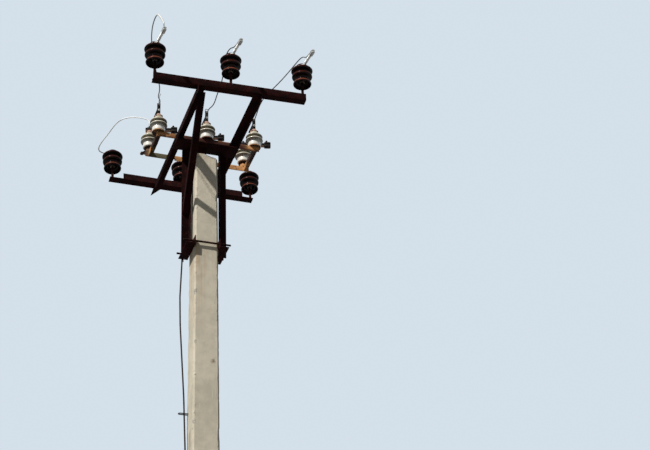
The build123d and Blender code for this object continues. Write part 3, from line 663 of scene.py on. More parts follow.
def rounded(points: Sequence[tuple[float, float]], cut: float, steps: int = 4, closed: bool = False) -> Array:
    """Outline with its corners rounded.

    A corner P between runs along a and b becomes the quadratic curve from
    P - c*a over P to P + c*b, with c the cut, or 0.45 of a shorter run.

    Args:
        points: corners of the outline.
        cut: how far from the corner the curve starts.
        steps: spans of each curve.
        closed: whether the last corner joins up with the first.

    Returns:
        (n, dims) points; the two ends of an open outline stay where they are.
    """
    p = np.asarray(points, float)
    before = np.roll(p, 1, axis=0)
    after = np.roll(p, -1, axis=0)
    one = np.minimum(cut, 0.45 * np.linalg.norm(p - before, axis=1))[:, None]
    two = np.minimum(cut, 0.45 * np.linalg.norm(after - p, axis=1))[:, None]
    start = p + unit(before - p) * one
    end = p + unit(after - p) * two
    t = np.linspace(0.0, 1.0, steps + 1)[None, :, None]
    curve = (1 - t) ** 2 * start[:, None] + 2 * t * (1 - t) * p[:, None] + t**2 * end[:, None]
    if closed:
        return curve.reshape(-1, p.shape[1])
    return np.vstack([p[:1], curve[1:-1].reshape(-1, p.shape[1]), p[-1:]])


@dataclass
class Place:
    """A frame in space: an origin and three unit axes in its columns."""

    origin: Array
    axes: Array = field(default_factory=lambda: np.eye(3))

    def apply(self, points: Array) -> Array:
        """Points of this frame in the object's frame."""
        return points @ self.axes.T + self.origin

    def at(self, x: float, y: float, z: float) -> "Place":
        """The same axes at a point given in this frame."""
        return Place(self.apply(np.array([x, y, z])), self.axes)

    def turned(self, degrees: float) -> "Place":
        """This frame turned about its own Z."""
        a = math.radians(degrees)
        turn = np.array([[math.cos(a), -math.sin(a), 0.0], [math.sin(a), math.cos(a), 0.0], [0.0, 0.0, 1.0]])
        return Place(self.origin, self.axes @ turn)


def standing(x: float, y: float, z: float) -> Place:
    """A frame with the object's axes at a point."""
    return Place(np.array([x, y, z]))


def pointing(origin: Sequence[float], way: Sequence[float], side: Sequence[float] = (1, 0, 0)) -> Place:
    """A frame whose Z runs along way, and whose X is as near side as it can be."""
    z = unit(np.asarray(way, float))
    x = np.asarray(side, float)
    x = unit(x - z * (x @ z))
    return Place(np.asarray(origin, float), np.stack([x, np.cross(z, x), z], axis=1))


@dataclass
class Surface:
    """A grid of points: rows along a profile or path, columns round it.

    Columns join up when closed. A row whose points all meet is a pole, and
    its faces become triangles. Marks are numbers kept on the vertices.
    """

    points: Array
    closed: bool = True
    marks: dict[str, Array] = field(default_factory=dict)
    finish: Finish | None = None
    flip: bool = False

    def moved(self, place: Place) -> "Surface":
        """The same surface put into a frame."""
        return Surface(place.apply(self.points), self.closed, self.marks, self.finish, self.flip)

    def faces(self) -> tuple[Array, Array, Array]:
        """Vertex positions, quads and triangles, with the points of a pole merged."""
        rows, columns = self.points.shape[:2]
        index = np.arange(rows * columns).reshape(rows, columns)
        spread = np.ptp(self.points, axis=1).max(axis=1)
        index[spread < 1e-9] = index[spread < 1e-9, :1]
        wide = np.hstack([index, index[:, :1]]) if self.closed else index
        quads = np.stack([wide[:-1, :-1], wide[:-1, 1:], wide[1:, 1:], wide[1:, :-1]], axis=-1).reshape(-1, 4)
        if self.flip:
            quads = quads[:, ::-1]
        low = quads[:, 0] == quads[:, 1] if not self.flip else quads[:, 2] == quads[:, 3]
        high = quads[:, 2] == quads[:, 3] if not self.flip else quads[:, 0] == quads[:, 1]
        whole = quads[~(low | high)]
        thin = quads[low ^ high]
        keep = thin != np.roll(thin, 1, axis=1)
        triangles = thin[keep].reshape(-1, 3) if len(thin) else np.zeros((0, 3), int)
        return self.points.reshape(-1, 3), whole, triangles


@dataclass
class Assembly:
    """Gathers surfaces into one object that rides on a CAD body."""

    name: str
    body: str
    slot: str
    finish: Finish
    surfaces: list[Surface] = field(default_factory=list)
    sharp: float = 38.0

    def add(self, surface: Surface, *places: Place) -> None:
        """Take a surface, once or at each of some places."""
        self.surfaces += [surface.moved(place) for place in places] if places else [surface]

    def make(self, *nodes: str) -> bpy.types.Object:
        """Make the object.

        Args:
            nodes: CAD nodes that it stands for.

        Returns:
            The new object, at the origin, with its place in its mesh.
        """
        finishes = list(dict.fromkeys(surface.finish or self.finish for surface in self.surfaces))
        vertices, faces, slots, offset = [], [], [], 0
        names = sorted({name for surface in self.surfaces for name in surface.marks})
        marks: dict[str, list[Array]] = {name: [] for name in names}
        for surface in self.surfaces:
            points, quads, triangles = surface.faces()
            vertices.append(points)
            faces += (quads + offset).tolist() + (triangles + offset).tolist()
            slots += [finishes.index(surface.finish or self.finish)] * (len(quads) + len(triangles))
            for name in names:
                values = surface.marks.get(name, np.zeros(1))
                marks[name].append(np.broadcast_to(values, surface.points.shape[:2]).reshape(-1))
            offset += len(points)
        mesh = bpy.data.meshes.new(self.name)
        mesh.from_pydata(np.vstack(vertices).tolist(), [], faces)
        for name in names:
            data = mesh.attributes.new(name, "FLOAT", "POINT").data
            data.foreach_set("value", np.concatenate(marks[name]).astype(np.float32))
        for finish in finishes:
            mesh.materials.append(finish.material())
        mesh.polygons.foreach_set("material_index", slots)
        mesh.polygons.foreach_set("use_smooth", np.ones(len(faces), bool))
        bm = bmesh.new()
        bm.from_mesh(mesh)
        bmesh.ops.delete(bm, geom=[v for v in bm.verts if not v.link_faces], context="VERTS")
        bm.to_mesh(mesh)
        bm.free()
        mesh.set_sharp_from_angle(angle=math.radians(self.sharp))
        mesh.update()
        piece = bpy.data.objects.new(self.name, mesh)
        bpy.context.scene.collection.objects.link(piece)
        return settle(piece, self.body, nodes)


def settle(piece: bpy.types.Object, body: str, nodes: Iterable[str] = ()) -> bpy.types.Object:
    """Make a piece ride on its body and stand for CAD nodes."""
    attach(piece, body)
    nodes = tuple(nodes)
    if nodes:
        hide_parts(*nodes)
    stands_for = f", for {nodes}" if nodes else ""
    log.info("%s: %d faces on %s%s", piece.name, len(piece.data.polygons), body, stands_for)
    return piece


def lathe(profile: Array, segments: int = 72, finish: Finish | None = None) -> Surface:
    """Turned surface: each (r, z) of the profile goes round Z as (r cos u, r sin u, z).

    Its marks are height, from 0 at the lowest to 1 at the highest point,
    upward, the Z part of the profile's outward normal, and rim, how convex
    the profile is, from the turn between neighbouring runs.
    """
    u = np.linspace(0.0, 2 * math.pi, segments, endpoint=False)
    r, z = profile[:, 0], profile[:, 1]
    points = np.stack([np.outer(r, np.cos(u)), np.outer(r, np.sin(u)), np.outer(z, np.ones_like(u))], axis=-1)
    run = unit(np.gradient(profile, axis=0))
    turn = np.cross(np.roll(run, 2, axis=0), np.roll(run, -2, axis=0))
    reach = np.maximum(r.max(), 1e-6)
    rim = np.clip(turn * 1.2, 0.0, 1.0) * np.clip(r / reach, 0, 1)
    height = (z - z.min()) / max(np.ptp(z), 1e-9)
    shape = (1, segments)
    marks = {
        "height": np.tile(height[:, None], shape),
        "upward": np.tile(-run[:, 0:1], shape),
        "rim": np.tile(rim[:, None], shape),
    }
    return Surface(points, True, marks, finish)


def swept(
    path: Array,
    radius: Array | float,
    segments: int = 12,
    side: Sequence[float] = (1.0, 0.0, 0.0),
    finish: Finish | None = None,
    strands: int = 0,
    lay: float = 0.09,
) -> Surface:
    """Tube along a path: at each station the ring r (n cos u + b sin u) round it.

    n is side made square to the path and b is square to both. With k strands
    the mark crown is |cos(k (u - w) / 2)|, with w turning once in each lay,
    and r is multiplied by 1 - 0.16 (1 - crown)^1.5, so it is least between them.
    """
    way = unit(np.gradient(path, axis=0))
    n = np.asarray(side, float)[None, :]
    n = unit(n - way * np.sum(way * n, axis=1, keepdims=True))
    b = np.cross(way, n)
    u = np.linspace(0.0, 2 * math.pi, segments, endpoint=False)[None, :]
    along = np.concatenate([[0.0], np.cumsum(np.linalg.norm(np.diff(path, axis=0), axis=1))])[:, None]
    size = np.broadcast_to(np.asarray(radius, float).reshape(-1, 1), (len(path), 1)) * np.ones_like(u)
    crown = np.ones_like(size)
    if strands:
        crown = np.abs(np.cos(strands / 2.0 * (u - 2 * math.pi * along / lay)))
        size = size * (1.0 - 0.16 * (1.0 - crown) ** 1.5)
    ring = n[:, None] * (np.cos(u) * size)[..., None] + b[:, None] * (np.sin(u) * size)[..., None]
    points = path[:, None] + ring
    ends = [np.repeat(path[:1, None], u.shape[1], axis=1), np.repeat(path[-1:, None], u.shape[1], axis=1)]
    points = np.concatenate([ends[0], points, ends[1]], axis=0)
    crown = np.vstack([crown[:1], crown, crown[-1:]])
    return Surface(points, True, {"crown": crown}, finish)


def torus(ring: float, wire: float, z: float, segments: int = 72, strands: int = 0) -> Surface:
    """Ring of wire: ((R + r cos v) cos u, (R + r cos v) sin u, z + r sin v), strands as in swept."""
    u = np.linspace(0.0, 2 * math.pi, segments + 1)[:, None]
    v = np.linspace(0.0, 2 * math.pi, 16, endpoint=False)[None, :]
    crown = np.abs(np.cos(strands / 2.0 * (v - 5 * u))) if strands else np.ones_like(u * v)
    r = wire * (1.0 - 0.16 * (1.0 - crown) ** 1.5)
    reach = ring + r * np.cos(v)
    points = np.stack([reach * np.cos(u), reach * np.sin(u), z + r * np.sin(v) + 0 * u], axis=-1)
    return Surface(points, True, {"crown": crown + 0 * points[..., 0]}, flip=True)


def even_steps(path: Array) -> Array:
    """Points of a path, spaced evenly along it, about 5 mm apart."""
    reach = np.concatenate([[0.0], np.cumsum(np.linalg.norm(np.diff(path, axis=0), axis=1))])
    count = max(2, int(reach[-1] / 0.005))
    even = np.linspace(0.0, reach[-1], count)
    return np.stack([np.interp(even, reach, path[:, axis]) for axis in range(3)], axis=1)


def hexagon(flats: float, height: float, finish: Finish | None = None) -> Surface:
    """Hexagon nut or head on z = 0.

    Its outline is r(u) = (flats/2) / cos(((u + 30) mod 60) - 30), and both
    ends are chamfered to the circle of the flats.
    """
    u = np.linspace(0.0, 2 * math.pi, 48, endpoint=False)
    r = flats / 2 / np.cos((u + math.pi / 6) % (math.pi / 3) - math.pi / 6)
    circle = np.full_like(r, flats / 2 * 0.97)
    rise = (r - flats / 2) * 0.55
    rings = [
        (r * 0, 0 * r),
        (np.minimum(r, circle), 0 * r),
        (r, rise),
        (r, height - rise),
        (np.minimum(r, circle), height + 0 * r),
        (r * 0, height + 0 * r),
    ]
    points = np.stack([np.stack([a * np.cos(u), a * np.sin(u), z], axis=-1) for a, z in rings])
    return Surface(points, True, {"crown": np.ones(points.shape[:2])}, finish)


def washer(outer: float, thick: float, finish: Finish | None = None) -> Surface:
    """Disc with rounded edges on z = 0."""
    profile = rounded([(0, 0), (outer, 0), (outer, thick), (0, thick)], thick * 0.3, 3)
    return lathe(profile, 36, finish)


def thread(radius: float, length: float, pitch: float = 0.002, finish: Finish | None = None) -> Surface:
    """Threaded end on z = 0: radius less a helical groove 0.07 of it deep, with a chamfered tip."""
    rows = max(6, int(length / pitch * 4))
    z = np.linspace(0.0, length, rows)[:, None]
    u = np.linspace(0.0, 2 * math.pi, 20, endpoint=False)[None, :]
    wave = 0.5 + 0.5 * np.cos(2 * math.pi * z / pitch - u)
    r = radius * (1.0 - 0.07 * wave)
    r = np.minimum(r, radius * 0.8 + (length - z) * 0.9)
    points = np.stack([r * np.cos(u), r * np.sin(u), z + 0 * u], axis=-1)
    tip = points[-1:] * np.array([0.0, 0.0, 1.0])
    foot = points[:1] * np.array([0.0, 0.0, 1.0])
    return Surface(np.concatenate([foot, points, tip]), True, {}, finish)


def slab(outline: Array, low: float, high: float, edge: float, finish: Finish | None = None) -> Surface:
    """Plate from a closed outline (n, 2), from z = low to high, its edges eased.

    Rings of the outline go inwards by edge at both faces and then to its
    middle: p = m + (q - m) s, with m the middle of the outline.
    """
    q = np.asarray(outline, float)
    middle = q.mean(axis=0)
    way = unit(q - middle)
    rings = [
        (middle + 0 * q, low),
        (q - way * edge, low),
        (q, low + edge),
        (q, high - edge),
        (q - way * edge, high),
        (middle + 0 * q, high),
    ]
    points = np.stack([np.column_stack([p, np.full(len(p), z)]) for p, z in rings])
    return Surface(points, True, {"crown": np.ones(points.shape[:2])}, finish)


def oblong(width: float, length: float, corner: float, centre: tuple[float, float] = (0.0, 0.0)) -> Array:
    """Rectangle with round corners as a closed outline, each of its spans divided in five."""
    x, y = width / 2, length / 2
    outline = rounded([(-x, -y), (x, -y), (x, y), (-x, y)], corner, 5, closed=True)
    after = np.roll(outline, -1, axis=0)
    t = np.linspace(0.0, 1.0, 5, endpoint=False)[None, :, None]
    spread = outline[:, None] * (1 - t) + after[:, None] * t
    return spread.reshape(-1, 2) + np.asarray(centre)


def bead(
    start: Sequence[float],
    end: Sequence[float],
    size: float,
    seed: int,
    finish: Finish | None = None,
) -> Surface:
    """Weld bead: a tube along a line whose radius is r (1 + 0.14 |sin(pi s / 4.2 mm)|), with noise."""
    start, end = np.asarray(start, float), np.asarray(end, float)
    length = np.linalg.norm(end - start)
    count = max(8, int(length / 0.0016))
    t = np.linspace(0.0, 1.0, count)
    path = start + (end - start) * t[:, None]
    ripple = 1.0 + 0.14 * np.abs(np.sin(math.pi * t * length / 0.0042))
    lump = 0.8 + 0.4 * lattice_noise(path, 0.012, seed)
    ends = np.clip(np.minimum(t, 1 - t) * length / size, 0.25, 1.0) ** 0.5
    side = (0.3, 0.5, 0.81) if abs((end - start)[2]) < 0.9 * length else (1.0, 0.0, 0.0)
    return swept(path, size * ripple * lump * ends, 8, side, finish)


# Fasteners
@dataclass(frozen=True)
class Nut:
    """A hexagon nut or bolt head, on a washer where it has one."""

    flats: float
    height: float
    washer_radius: float = 0.0
    washer_thick: float = 0.0

    def fit(self, parts: Assembly, seat: Place, turn: float = 0.0, finish: Finish | None = None) -> None:
        """Add the washer on the seat, and the hexagon on it, turned by some degrees.

        Args:
            parts: the assembly that takes them.
            seat: frame whose Z points away from the face that the nut bears on.
            turn: how far the hexagon is turned about that Z.
            finish: their finish, if not the assembly's.
        """
        if self.washer_radius:
            parts.add(washer(self.washer_radius, self.washer_thick, finish), seat)
        parts.add(hexagon(self.flats, self.height, finish), seat.at(0, 0, self.washer_thick).turned(turn))


CAP_SCREW = Nut(0.0075, 0.0036)


def cap_screws(parts: Assembly, centre: Point, first: float = 45.0, finish: Finish | None = None) -> None:
    """Four screw heads round a cap, a quarter turn apart, the first at some degrees from X."""
    for index in range(4):
        a = math.radians(first + 90 * index)
        way = np.array([math.cos(a), math.sin(a), 0.0])
        seat = pointing(np.array(centre) + HEAD.cap_screw_reach * way, way, (0, 0, 1))
        CAP_SCREW.fit(parts, seat, finish=finish)


# The object's sizes that more than one sub-assembly needs, in metres
@dataclass(frozen=True)
class Head:
    """Places of the steel head, as the CAD source works them out."""

    pole_top: float = 8.825
    chord_top: float = 8.980
    frame_top: float = 8.996
    near_row: float = -0.0375
    far_row: float = 0.2625
    near_x: tuple[float, ...] = (-0.389, 0.013, 0.415)
    far_x: tuple[float, ...] = (-0.394, 0.008, 0.410)
    column_height: float = 0.144
    cap_height: float = 0.030
    cap_radius: float = 0.033
    cap_screw_reach: float = 0.0325
    cap_screw_rise: float = 0.0055
    near_foot: float = 9.004
    far_foot: float = 9.0463
    lug_hole: float = 9.2198
    blade_low: float = 9.2203
    blade_high: float = 9.2433
    near_arm: tuple[float, float] = (0.008, -0.772)
    near_arm_turn: float = -2.0
    far_arm: tuple[float, float] = (-0.012, 0.655)
    far_arm_lean: float = 8.0
    arm_thick: float = 0.006
    pin_edge: float = 0.034
    near_pins: tuple[float, ...] = (-0.595, 0.011, 0.594)
    far_pins: tuple[float, ...] = (-0.592, 0.004, 0.604)
    near_stand: float = 0.165
    far_stand: float = 0.116
    bell_radius: float = 0.086
    bell_height: float = 0.190
    bell_groove: float = 0.875
    tie_turn: float = 6.5

    def near_places(self) -> list[Place]:
        """Feet of the near pins, on the near crossarm's flat leg."""
        base = standing(*self.near_arm, self.chord_top).turned(self.near_arm_turn)
        return [base.at(x, self.pin_edge, self.arm_thick) for x in self.near_pins]

    def far_places(self) -> list[Place]:
        """Feet of the far pins, leaning back with the far crossarm."""
        a = math.radians(self.far_arm_lean)
        axes = np.array([[1.0, 0.0, 0.0], [0.0, math.cos(a), math.sin(a)], [0.0, -math.sin(a), math.cos(a)]])
        base = Place(np.array([*self.far_arm, self.chord_top]), axes)
        return [base.at(x, self.pin_edge, self.arm_thick) for x in self.far_pins]

    def pin_rows(self) -> list[tuple[str, list[Place], float]]:
        """Each row's name, the feet of its pins, and how high its insulators stand on them."""
        return [
            ("near", self.near_places(), self.near_stand),
            ("far", self.far_places(), self.far_stand),
        ]

    def tie_places(self) -> list[Place]:
        """Feet of the near pins, turned as the ties are."""
        return [place.turned(self.tie_turn) for place in self.near_places()]


HEAD = Head()
SIDES = ("left", "middle", "right")


class Wear(Enum):
    """How strongly the edges of a steel section are rounded, in metres."""

    ROLLED = 0.0016
    CUT = 0.0008


def eased(
    node: str,
    finish: Finish,
    wear: Wear = Wear.ROLLED,
    other: Finish | None = None,
    where: Callable[[Array], Array] | None = None,
) -> bpy.types.Object:
    """Stand a copy of a CAD node in for it, with its flat faces whole and its edges rounded.

    Args:
        node: the CAD node.
        finish: its finish.
        wear: how round the edges are.
        other: finish of the faces that where picks out.
        where: takes the (n, 3) middles of the faces and returns a mask.

    Returns:
        The new piece, which rides on the node's body.
    """
    source = frame["nodes"][node]
    mesh = source.data.copy()
    mesh.name = f"{node}_steel"
    bm = bmesh.new()
    bm.from_mesh(mesh)
    bmesh.ops.remove_doubles(bm, verts=bm.verts, dist=2e-6)
    bmesh.ops.dissolve_limit(bm, angle_limit=math.radians(0.6), verts=bm.verts, edges=bm.edges)
    bm.to_mesh(mesh)
    bm.free()
    mesh.materials.clear()
    mesh.materials.append(finish.material())
    count = len(mesh.polygons)
    mesh.polygons.foreach_set("use_smooth", np.ones(count, bool))
    mesh.polygons.foreach_set("material_index", np.zeros(count, int))
    if other is not None and where is not None:
        middles = np.zeros(count * 3)
        mesh.polygons.foreach_get("center", middles)
        mesh.materials.append(other.material())
        mesh.polygons.foreach_set("material_index", where(middles.reshape(-1, 3)).astype(int))
    piece = bpy.data.objects.new(mesh.name, mesh)
    bpy.context.scene.collection.objects.link(piece)
    bevel = piece.modifiers.new("edges", "BEVEL")
    bevel.width = wear.value
    bevel.segments = 2
    bevel.limit_method = "ANGLE"
    bevel.angle_limit = math.radians(40.0)
    bevel.use_clamp_overlap = True
    bevel.harden_normals = True
    return settle(piece, source["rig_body"], (node,))


# Sub-assemblies
@dataclass
class ConcretePole:
    """Tapered concrete pole with worn arrises and a broken top."""

    height: float = HEAD.pole_top
    foot: tuple[float, float] = (0.275, 0.190)
    top: tuple[float, float] = (0.182, 0.176)
    chamfer: float = 0.014
    chip: tuple[float, float, float] = (0.088, 0.110, 0.026)
    rows: int = 560

    def outline(self, z: Array) -> tuple[Array, Array]:
        """Chamfered rectangle at each height.

        Its eight corners lie at half the width and depth, less the chamfer
        on one axis, and points divide the runs between them evenly.

        Args:
            z: heights of the rows.

        Returns:
            (rows, columns, 2) points, and how near an arris each column is.
        """
        share = (z / self.height)[:, None]
        a = (self.foot[0] + (self.top[0] - self.foot[0]) * share) / 2
        b = (self.foot[1] + (self.top[1] - self.foot[1]) * share) / 2
        c = self.chamfer
        x = np.hstack([a - c, a, a, a - c, -a + c, -a, -a, -a + c])
        y = np.hstack([-b, -b + c, b - c, b, b, b - c, -b + c, -b])
        corners = np.stack([x, y], axis=-1)
        after = np.roll(corners, -1, axis=1)
        points, arris = [], []
        for run in range(8):
            count = 3 if run % 2 == 0 else 14
            t = np.linspace(0.0, 1.0, count, endpoint=False)
            points.append(corners[:, run, None] * (1 - t)[:, None] + after[:, run, None] * t[:, None])
            arris.append(np.ones(count) if count == 3 else np.maximum(1 - t * 14, t * 14 - 13).clip(0, 1))
        return np.concatenate(points, axis=1), np.concatenate(arris)

    def crown(self, x: Array, y: Array) -> Array:
        """Height of the broken top: a ramp down to the near right corner, a crumbled rim, and noise."""
        width, depth, drop = self.chip
        edge_x, edge_y = self.top[0] / 2 - width, -self.top[1] / 2 + depth
        ramp = np.clip((x - edge_x) / width, 0, 1) * np.clip((edge_y - y) / 0.02, 0, 1)
        points = np.stack([x, y, np.zeros_like(x)], axis=-1)
        rough = lattice_noise(points, 0.022, 3) * 0.6 + lattice_noise(points, 0.009, 4) * 0.4
        reach = np.maximum(np.abs(x) / (self.top[0] / 2), np.abs(y) / (self.top[1] / 2))
        rim = np.clip((reach - 0.72) / 0.28, 0, 1) * np.clip(lattice_noise(points, 0.035, 9) - 0.35, 0, 1)
        return self.height - ramp * drop - rough * (0.0015 + 0.006 * ramp) - rim * 0.016

    def surface(self) -> Surface:
        """Rows from the middle of the foot, up the faces, and in over the broken top."""
        z = np.linspace(0.0, self.height, self.rows)
        outline, arris = self.outline(z)
        columns = outline.shape[1]
        heights = np.broadcast_to(z[:, None, None], (self.rows, columns, 1))
        points = np.concatenate([outline, heights], axis=-1)
        # crumbled arrises and a slightly wavy skin, both inwards only
        chips = np.clip(lattice_noise(points, 0.055, 11) - 0.60, 0, 1) * 0.020
        chips += np.clip(lattice_noise(points, 0.017, 12) - 0.62, 0, 1) * 0.010
        wave = lattice_noise(points * np.array([1, 1, 0.4]), 0.16, 13) * 0.0012
        inward = (chips * arris + wave)[..., None]
        points[..., :2] -= unit(points[..., :2]) * inward
        broken = np.clip(chips * arris * 260, 0, 1)
        crown = self.crown(points[-1, :, 0], points[-1, :, 1])
        lift = np.clip((z - (self.height - 0.15)) / 0.15, 0, 1)[:, None]
        points[..., 2] -= (self.height - crown)[None, :] * lift * lift * (3 - 2 * lift)
        broken = np.maximum(broken, ((self.height - crown)[None, :] > 0.006) * (lift > 0.93))
        inner = []
        for scale in np.linspace(0.93, 0.0, 12):
            ring = points[-1].copy()
            ring[:, :2] *= scale
            ring[:, 2] = self.crown(ring[:, 0], ring[:, 1])
            inner.append(ring)
        foot = points[0] * np.array([0.0, 0.0, 1.0])
        grid = np.concatenate([foot[None], points, np.stack(inner)])
        top = np.concatenate([broken[:1], broken, np.repeat(broken[-1:] * 0 + 0.8, 12, axis=0)])
        return Surface(grid, True, {"broken": top}, CONCRETE)

    def build(self) -> None:
        """Make the pole in place of its CAD solid."""
        pole = Assembly("concrete_pole_cast", "pole", "concrete", CONCRETE, sharp=30.0)
        pole.add(self.surface())
        pole.make("concrete_pole")


@dataclass
class SteelHead:
    """Posts, clamp, chords, brace, crossarms and the plate on the pole top."""

    rolled: tuple[str, ...] = (
        "pole_top_stub",
        "head_plate",
        "post_left",
        "post_right",
        "clamp_angle_left",
        "clamp_angle_right",
        "chord_left",
        "chord_right",
        "knee_brace_left",
        "crossarm_near",
        "crossarm_far",
    )
    leg_thick: float = 0.006
    rod_radius: float = 0.008
    rod_plain: float = 0.128
    rod_nut: Nut = Nut(0.0222, 0.0102, 0.0150, 0.0028)
    shank: float = 0.0108
    weld: float = 0.0036
    near_arm_edges: tuple[float, float] = (-0.764, -0.714)
    # x and y of both ends of the two welds at the brace's upper end
    brace_seams: tuple[tuple[float, float, float, float], ...] = (
        (-0.219, -0.690, -0.190, -0.690),
        (-0.220, -0.688, -0.220, -0.624),
    )
    # seam behind the head plate at the posts' tops: depth from the posts' back, and heights
    top_seam: float = 0.0042
    top_seam_lifts: tuple[float, float] = (-0.0005, 0.0040)

    def build(self) -> None:
        """Ease the sections and add rods, nuts and weld beads."""
        for node in self.rolled:
            eased(node, ANGLE)
        self.rods()
        self.pins()
        self.welds()

    def rods(self) -> None:
        """Clamp rods with real threads, hexagon nuts and washers at both ends."""
        for row, node in ((-1, "clamp_rod_near"), (1, "clamp_rod_far")):
            low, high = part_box(node)
            y, z = (low.y + high.y) / 2, (low.z + high.z) / 2
            rod = Assembly(f"{node}_threaded", "pole", "rusty_angle", PIN)
            half = (high.x - low.x) / 2
            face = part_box("clamp_angle_right")[0].x + self.leg_thick
            reach = self.rod_plain + 0.002
            path = np.linspace((-reach, y, z), (reach, y, z), 40)
            rod.add(swept(path, self.rod_radius - 0.0002, 20, (0, 0, 1)))
            for side in (-1, 1):
                end = pointing((side * self.rod_plain, y, z), (side, 0, 0), (0, 0, 1))
                rod.add(thread(self.rod_radius, half - self.rod_plain, 0.0025), end)
                seat = pointing((side * (face + 0.0002), y, z), (side, 0, 0), (0, 0, 1)).turned(17.0 * row)
                self.rod_nut.fit(rod, seat, finish=NUT)
            rod.make(node)

    def pins(self) -> None:
        """Insulator pins: collar, tapered shank, and the riveted end flush under the arm."""
        r = self.shank
        rivet = rounded([(0, 0), (r, 0), (r, 0.0052), (r - 0.0018, 0.0062), (0, 0.0062)], 0.0008)
        for row, places, stand in HEAD.pin_rows():
            collar = [(0, 0), (0.019, 0), (0.019, 0.010), (0.0118, 0.012)]
            shank = rounded([*collar, (r, 0.02), (0.0106, stand + 0.085), (0, stand + 0.088)], 0.0016)
            pins = Assembly(f"insulator_pins_{row}_forged", "pole", "rusty_angle", PIN)
            pins.add(lathe(shank, 40), *places)
            for place in places:
                under = pointing(place.at(0, 0, 0.0002).origin, -place.axes[:, 2], place.axes[:, 0])
                pins.add(lathe(rivet, 32), under)
            pins.make(f"insulator_pins_{row}")

    def seams(self) -> list[tuple[Point, Point]]:
        """Both ends of each seam where the sections meet."""
        top, thick = HEAD.chord_top, self.leg_thick
        near, far_edge = self.near_arm_edges
        plate, stub, far = (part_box(node) for node in ("head_plate", "pole_top_stub", "crossarm_far"))
        posts = [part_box(node) for node in ("post_left", "post_right")]
        lines: list[tuple[Point, Point]] = []
        for (low, high), inner in zip(posts, (posts[0][1].x, posts[1][0].x)):
            for z in (plate[0].z, low.z):
                lines.append(((low.x, high.y, z), (high.x, high.y, z)))
                lines.append(((inner, low.y, z), (inner, high.y, z)))
        for node, side in (("chord_left", -1), ("chord_right", 1)):
            low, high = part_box(node)
            inner = low.x + thick if side < 0 else high.x - thick
            lines.append(((inner, plate[0].y + 0.004, plate[1].z), (inner, plate[1].y - 0.004, plate[1].z)))
            for edge in (low.x, high.x):
                lines.append(((edge, near, top), (edge, far_edge, top)))
            back, under = far[0].y + 0.001, top - 0.001
            lines.append(((low.x + 0.004, back, under), (high.x - 0.004, back, under)))
        corner = (stub[0].x, stub[0].y, stub[1].z)
        lines.append((corner, (stub[1].x, stub[0].y, stub[1].z)))
        lines.append((corner, (stub[0].x, stub[1].y, stub[1].z)))
        z = top - 0.005
        for x, y, end_x, end_y in self.brace_seams:
            lines.append(((x, y, z), (end_x, end_y, z)))
        for low, high in posts:
            for lift in self.top_seam_lifts:
                y, z = high.y - self.top_seam, high.z + lift
                lines.append(((low.x + 0.002, y, z), (high.x - 0.002, y, z)))
        return lines

    def welds(self) -> None:
        """Weld beads, one along each seam."""
        beads = Assembly("head_welds", "pole", "rusty_angle", PIN)
        for seed, (start, end) in enumerate(self.seams(), 1):
            beads.add(bead(start, end, self.weld, seed))
        beads.make()


@dataclass
class BrownInsulators:
    """Six brown pin insulators with three sheds, the widest on top."""

    bore: float = 0.015
    bore_depth: float = 0.090
    cement_rise: float = 0.022

    def profile(self) -> Array:
        """Half outline from the bore's end, round the hollow skirt and up over the sheds."""
        r, h = HEAD.bell_radius, HEAD.bell_height
        corners = [
            (0.0, self.bore_depth),
            (self.bore, self.bore_depth),
            (self.bore, h * 0.17),
            (self.bore + 0.006, h * 0.15),
            (self.bore + 0.012, h * 0.17),
            (r * 0.50, h * 0.22),
            (r * 0.66, h * 0.16),
            (r * 0.73, h * 0.02),
            (r * 0.76, 0.0),
            (r * 0.81, 0.0),
            (r * 0.86, h * 0.05),
            (r * 0.80, h * 0.11),
            (r * 0.62, h * 0.18),
            (r * 0.60, h * 0.24),
            (r * 0.63, h * 0.32),
            (r * 0.80, h * 0.345),
            (r * 0.93, h * 0.375),
            (r * 0.95, h * 0.44),
            (r * 0.88, h * 0.49),
            (r * 0.68, h * 0.555),
            (r * 0.66, h * 0.59),
            (r * 0.69, h * 0.63),
            (r * 0.88, h * 0.645),
            (r * 0.99, h * 0.68),
            (r * 1.00, h * 0.73),
            (r * 0.92, h * 0.78),
            (r * 0.62, h * 0.835),
            (r * 0.52, h * 0.86),
            (r * 0.495, h * 0.875),
            (r * 0.52, h * 0.895),
            (r * 0.58, h * 0.925),
            (r * 0.55, h * 0.965),
            (r * 0.40, h * 0.99),
            (0.0, h),
        ]
        return rounded(corners, 0.0055, 5)

    def build(self) -> None:
        """Make both rows in place of their CAD solids, with the cement round each pin."""
        turned = lathe(self.profile(), 112, GLAZE)
        cement = lathe(rounded([(0.0, 0.0), (0.0185, 0.0), (0.0185, 0.014), (0.0, 0.016)], 0.002), 32, SHADED_CEMENT)
        for row, places, stand in HEAD.pin_rows():
            bells = Assembly(f"pin_insulators_{row}_glazed", "pole", "brown_glaze", GLAZE, sharp=60.0)
            for place in places:
                bells.add(turned, place.at(0, 0, stand))
                bells.add(cement, place.at(0, 0, stand + self.cement_rise))
            bells.make(f"pin_insulators_{row}")


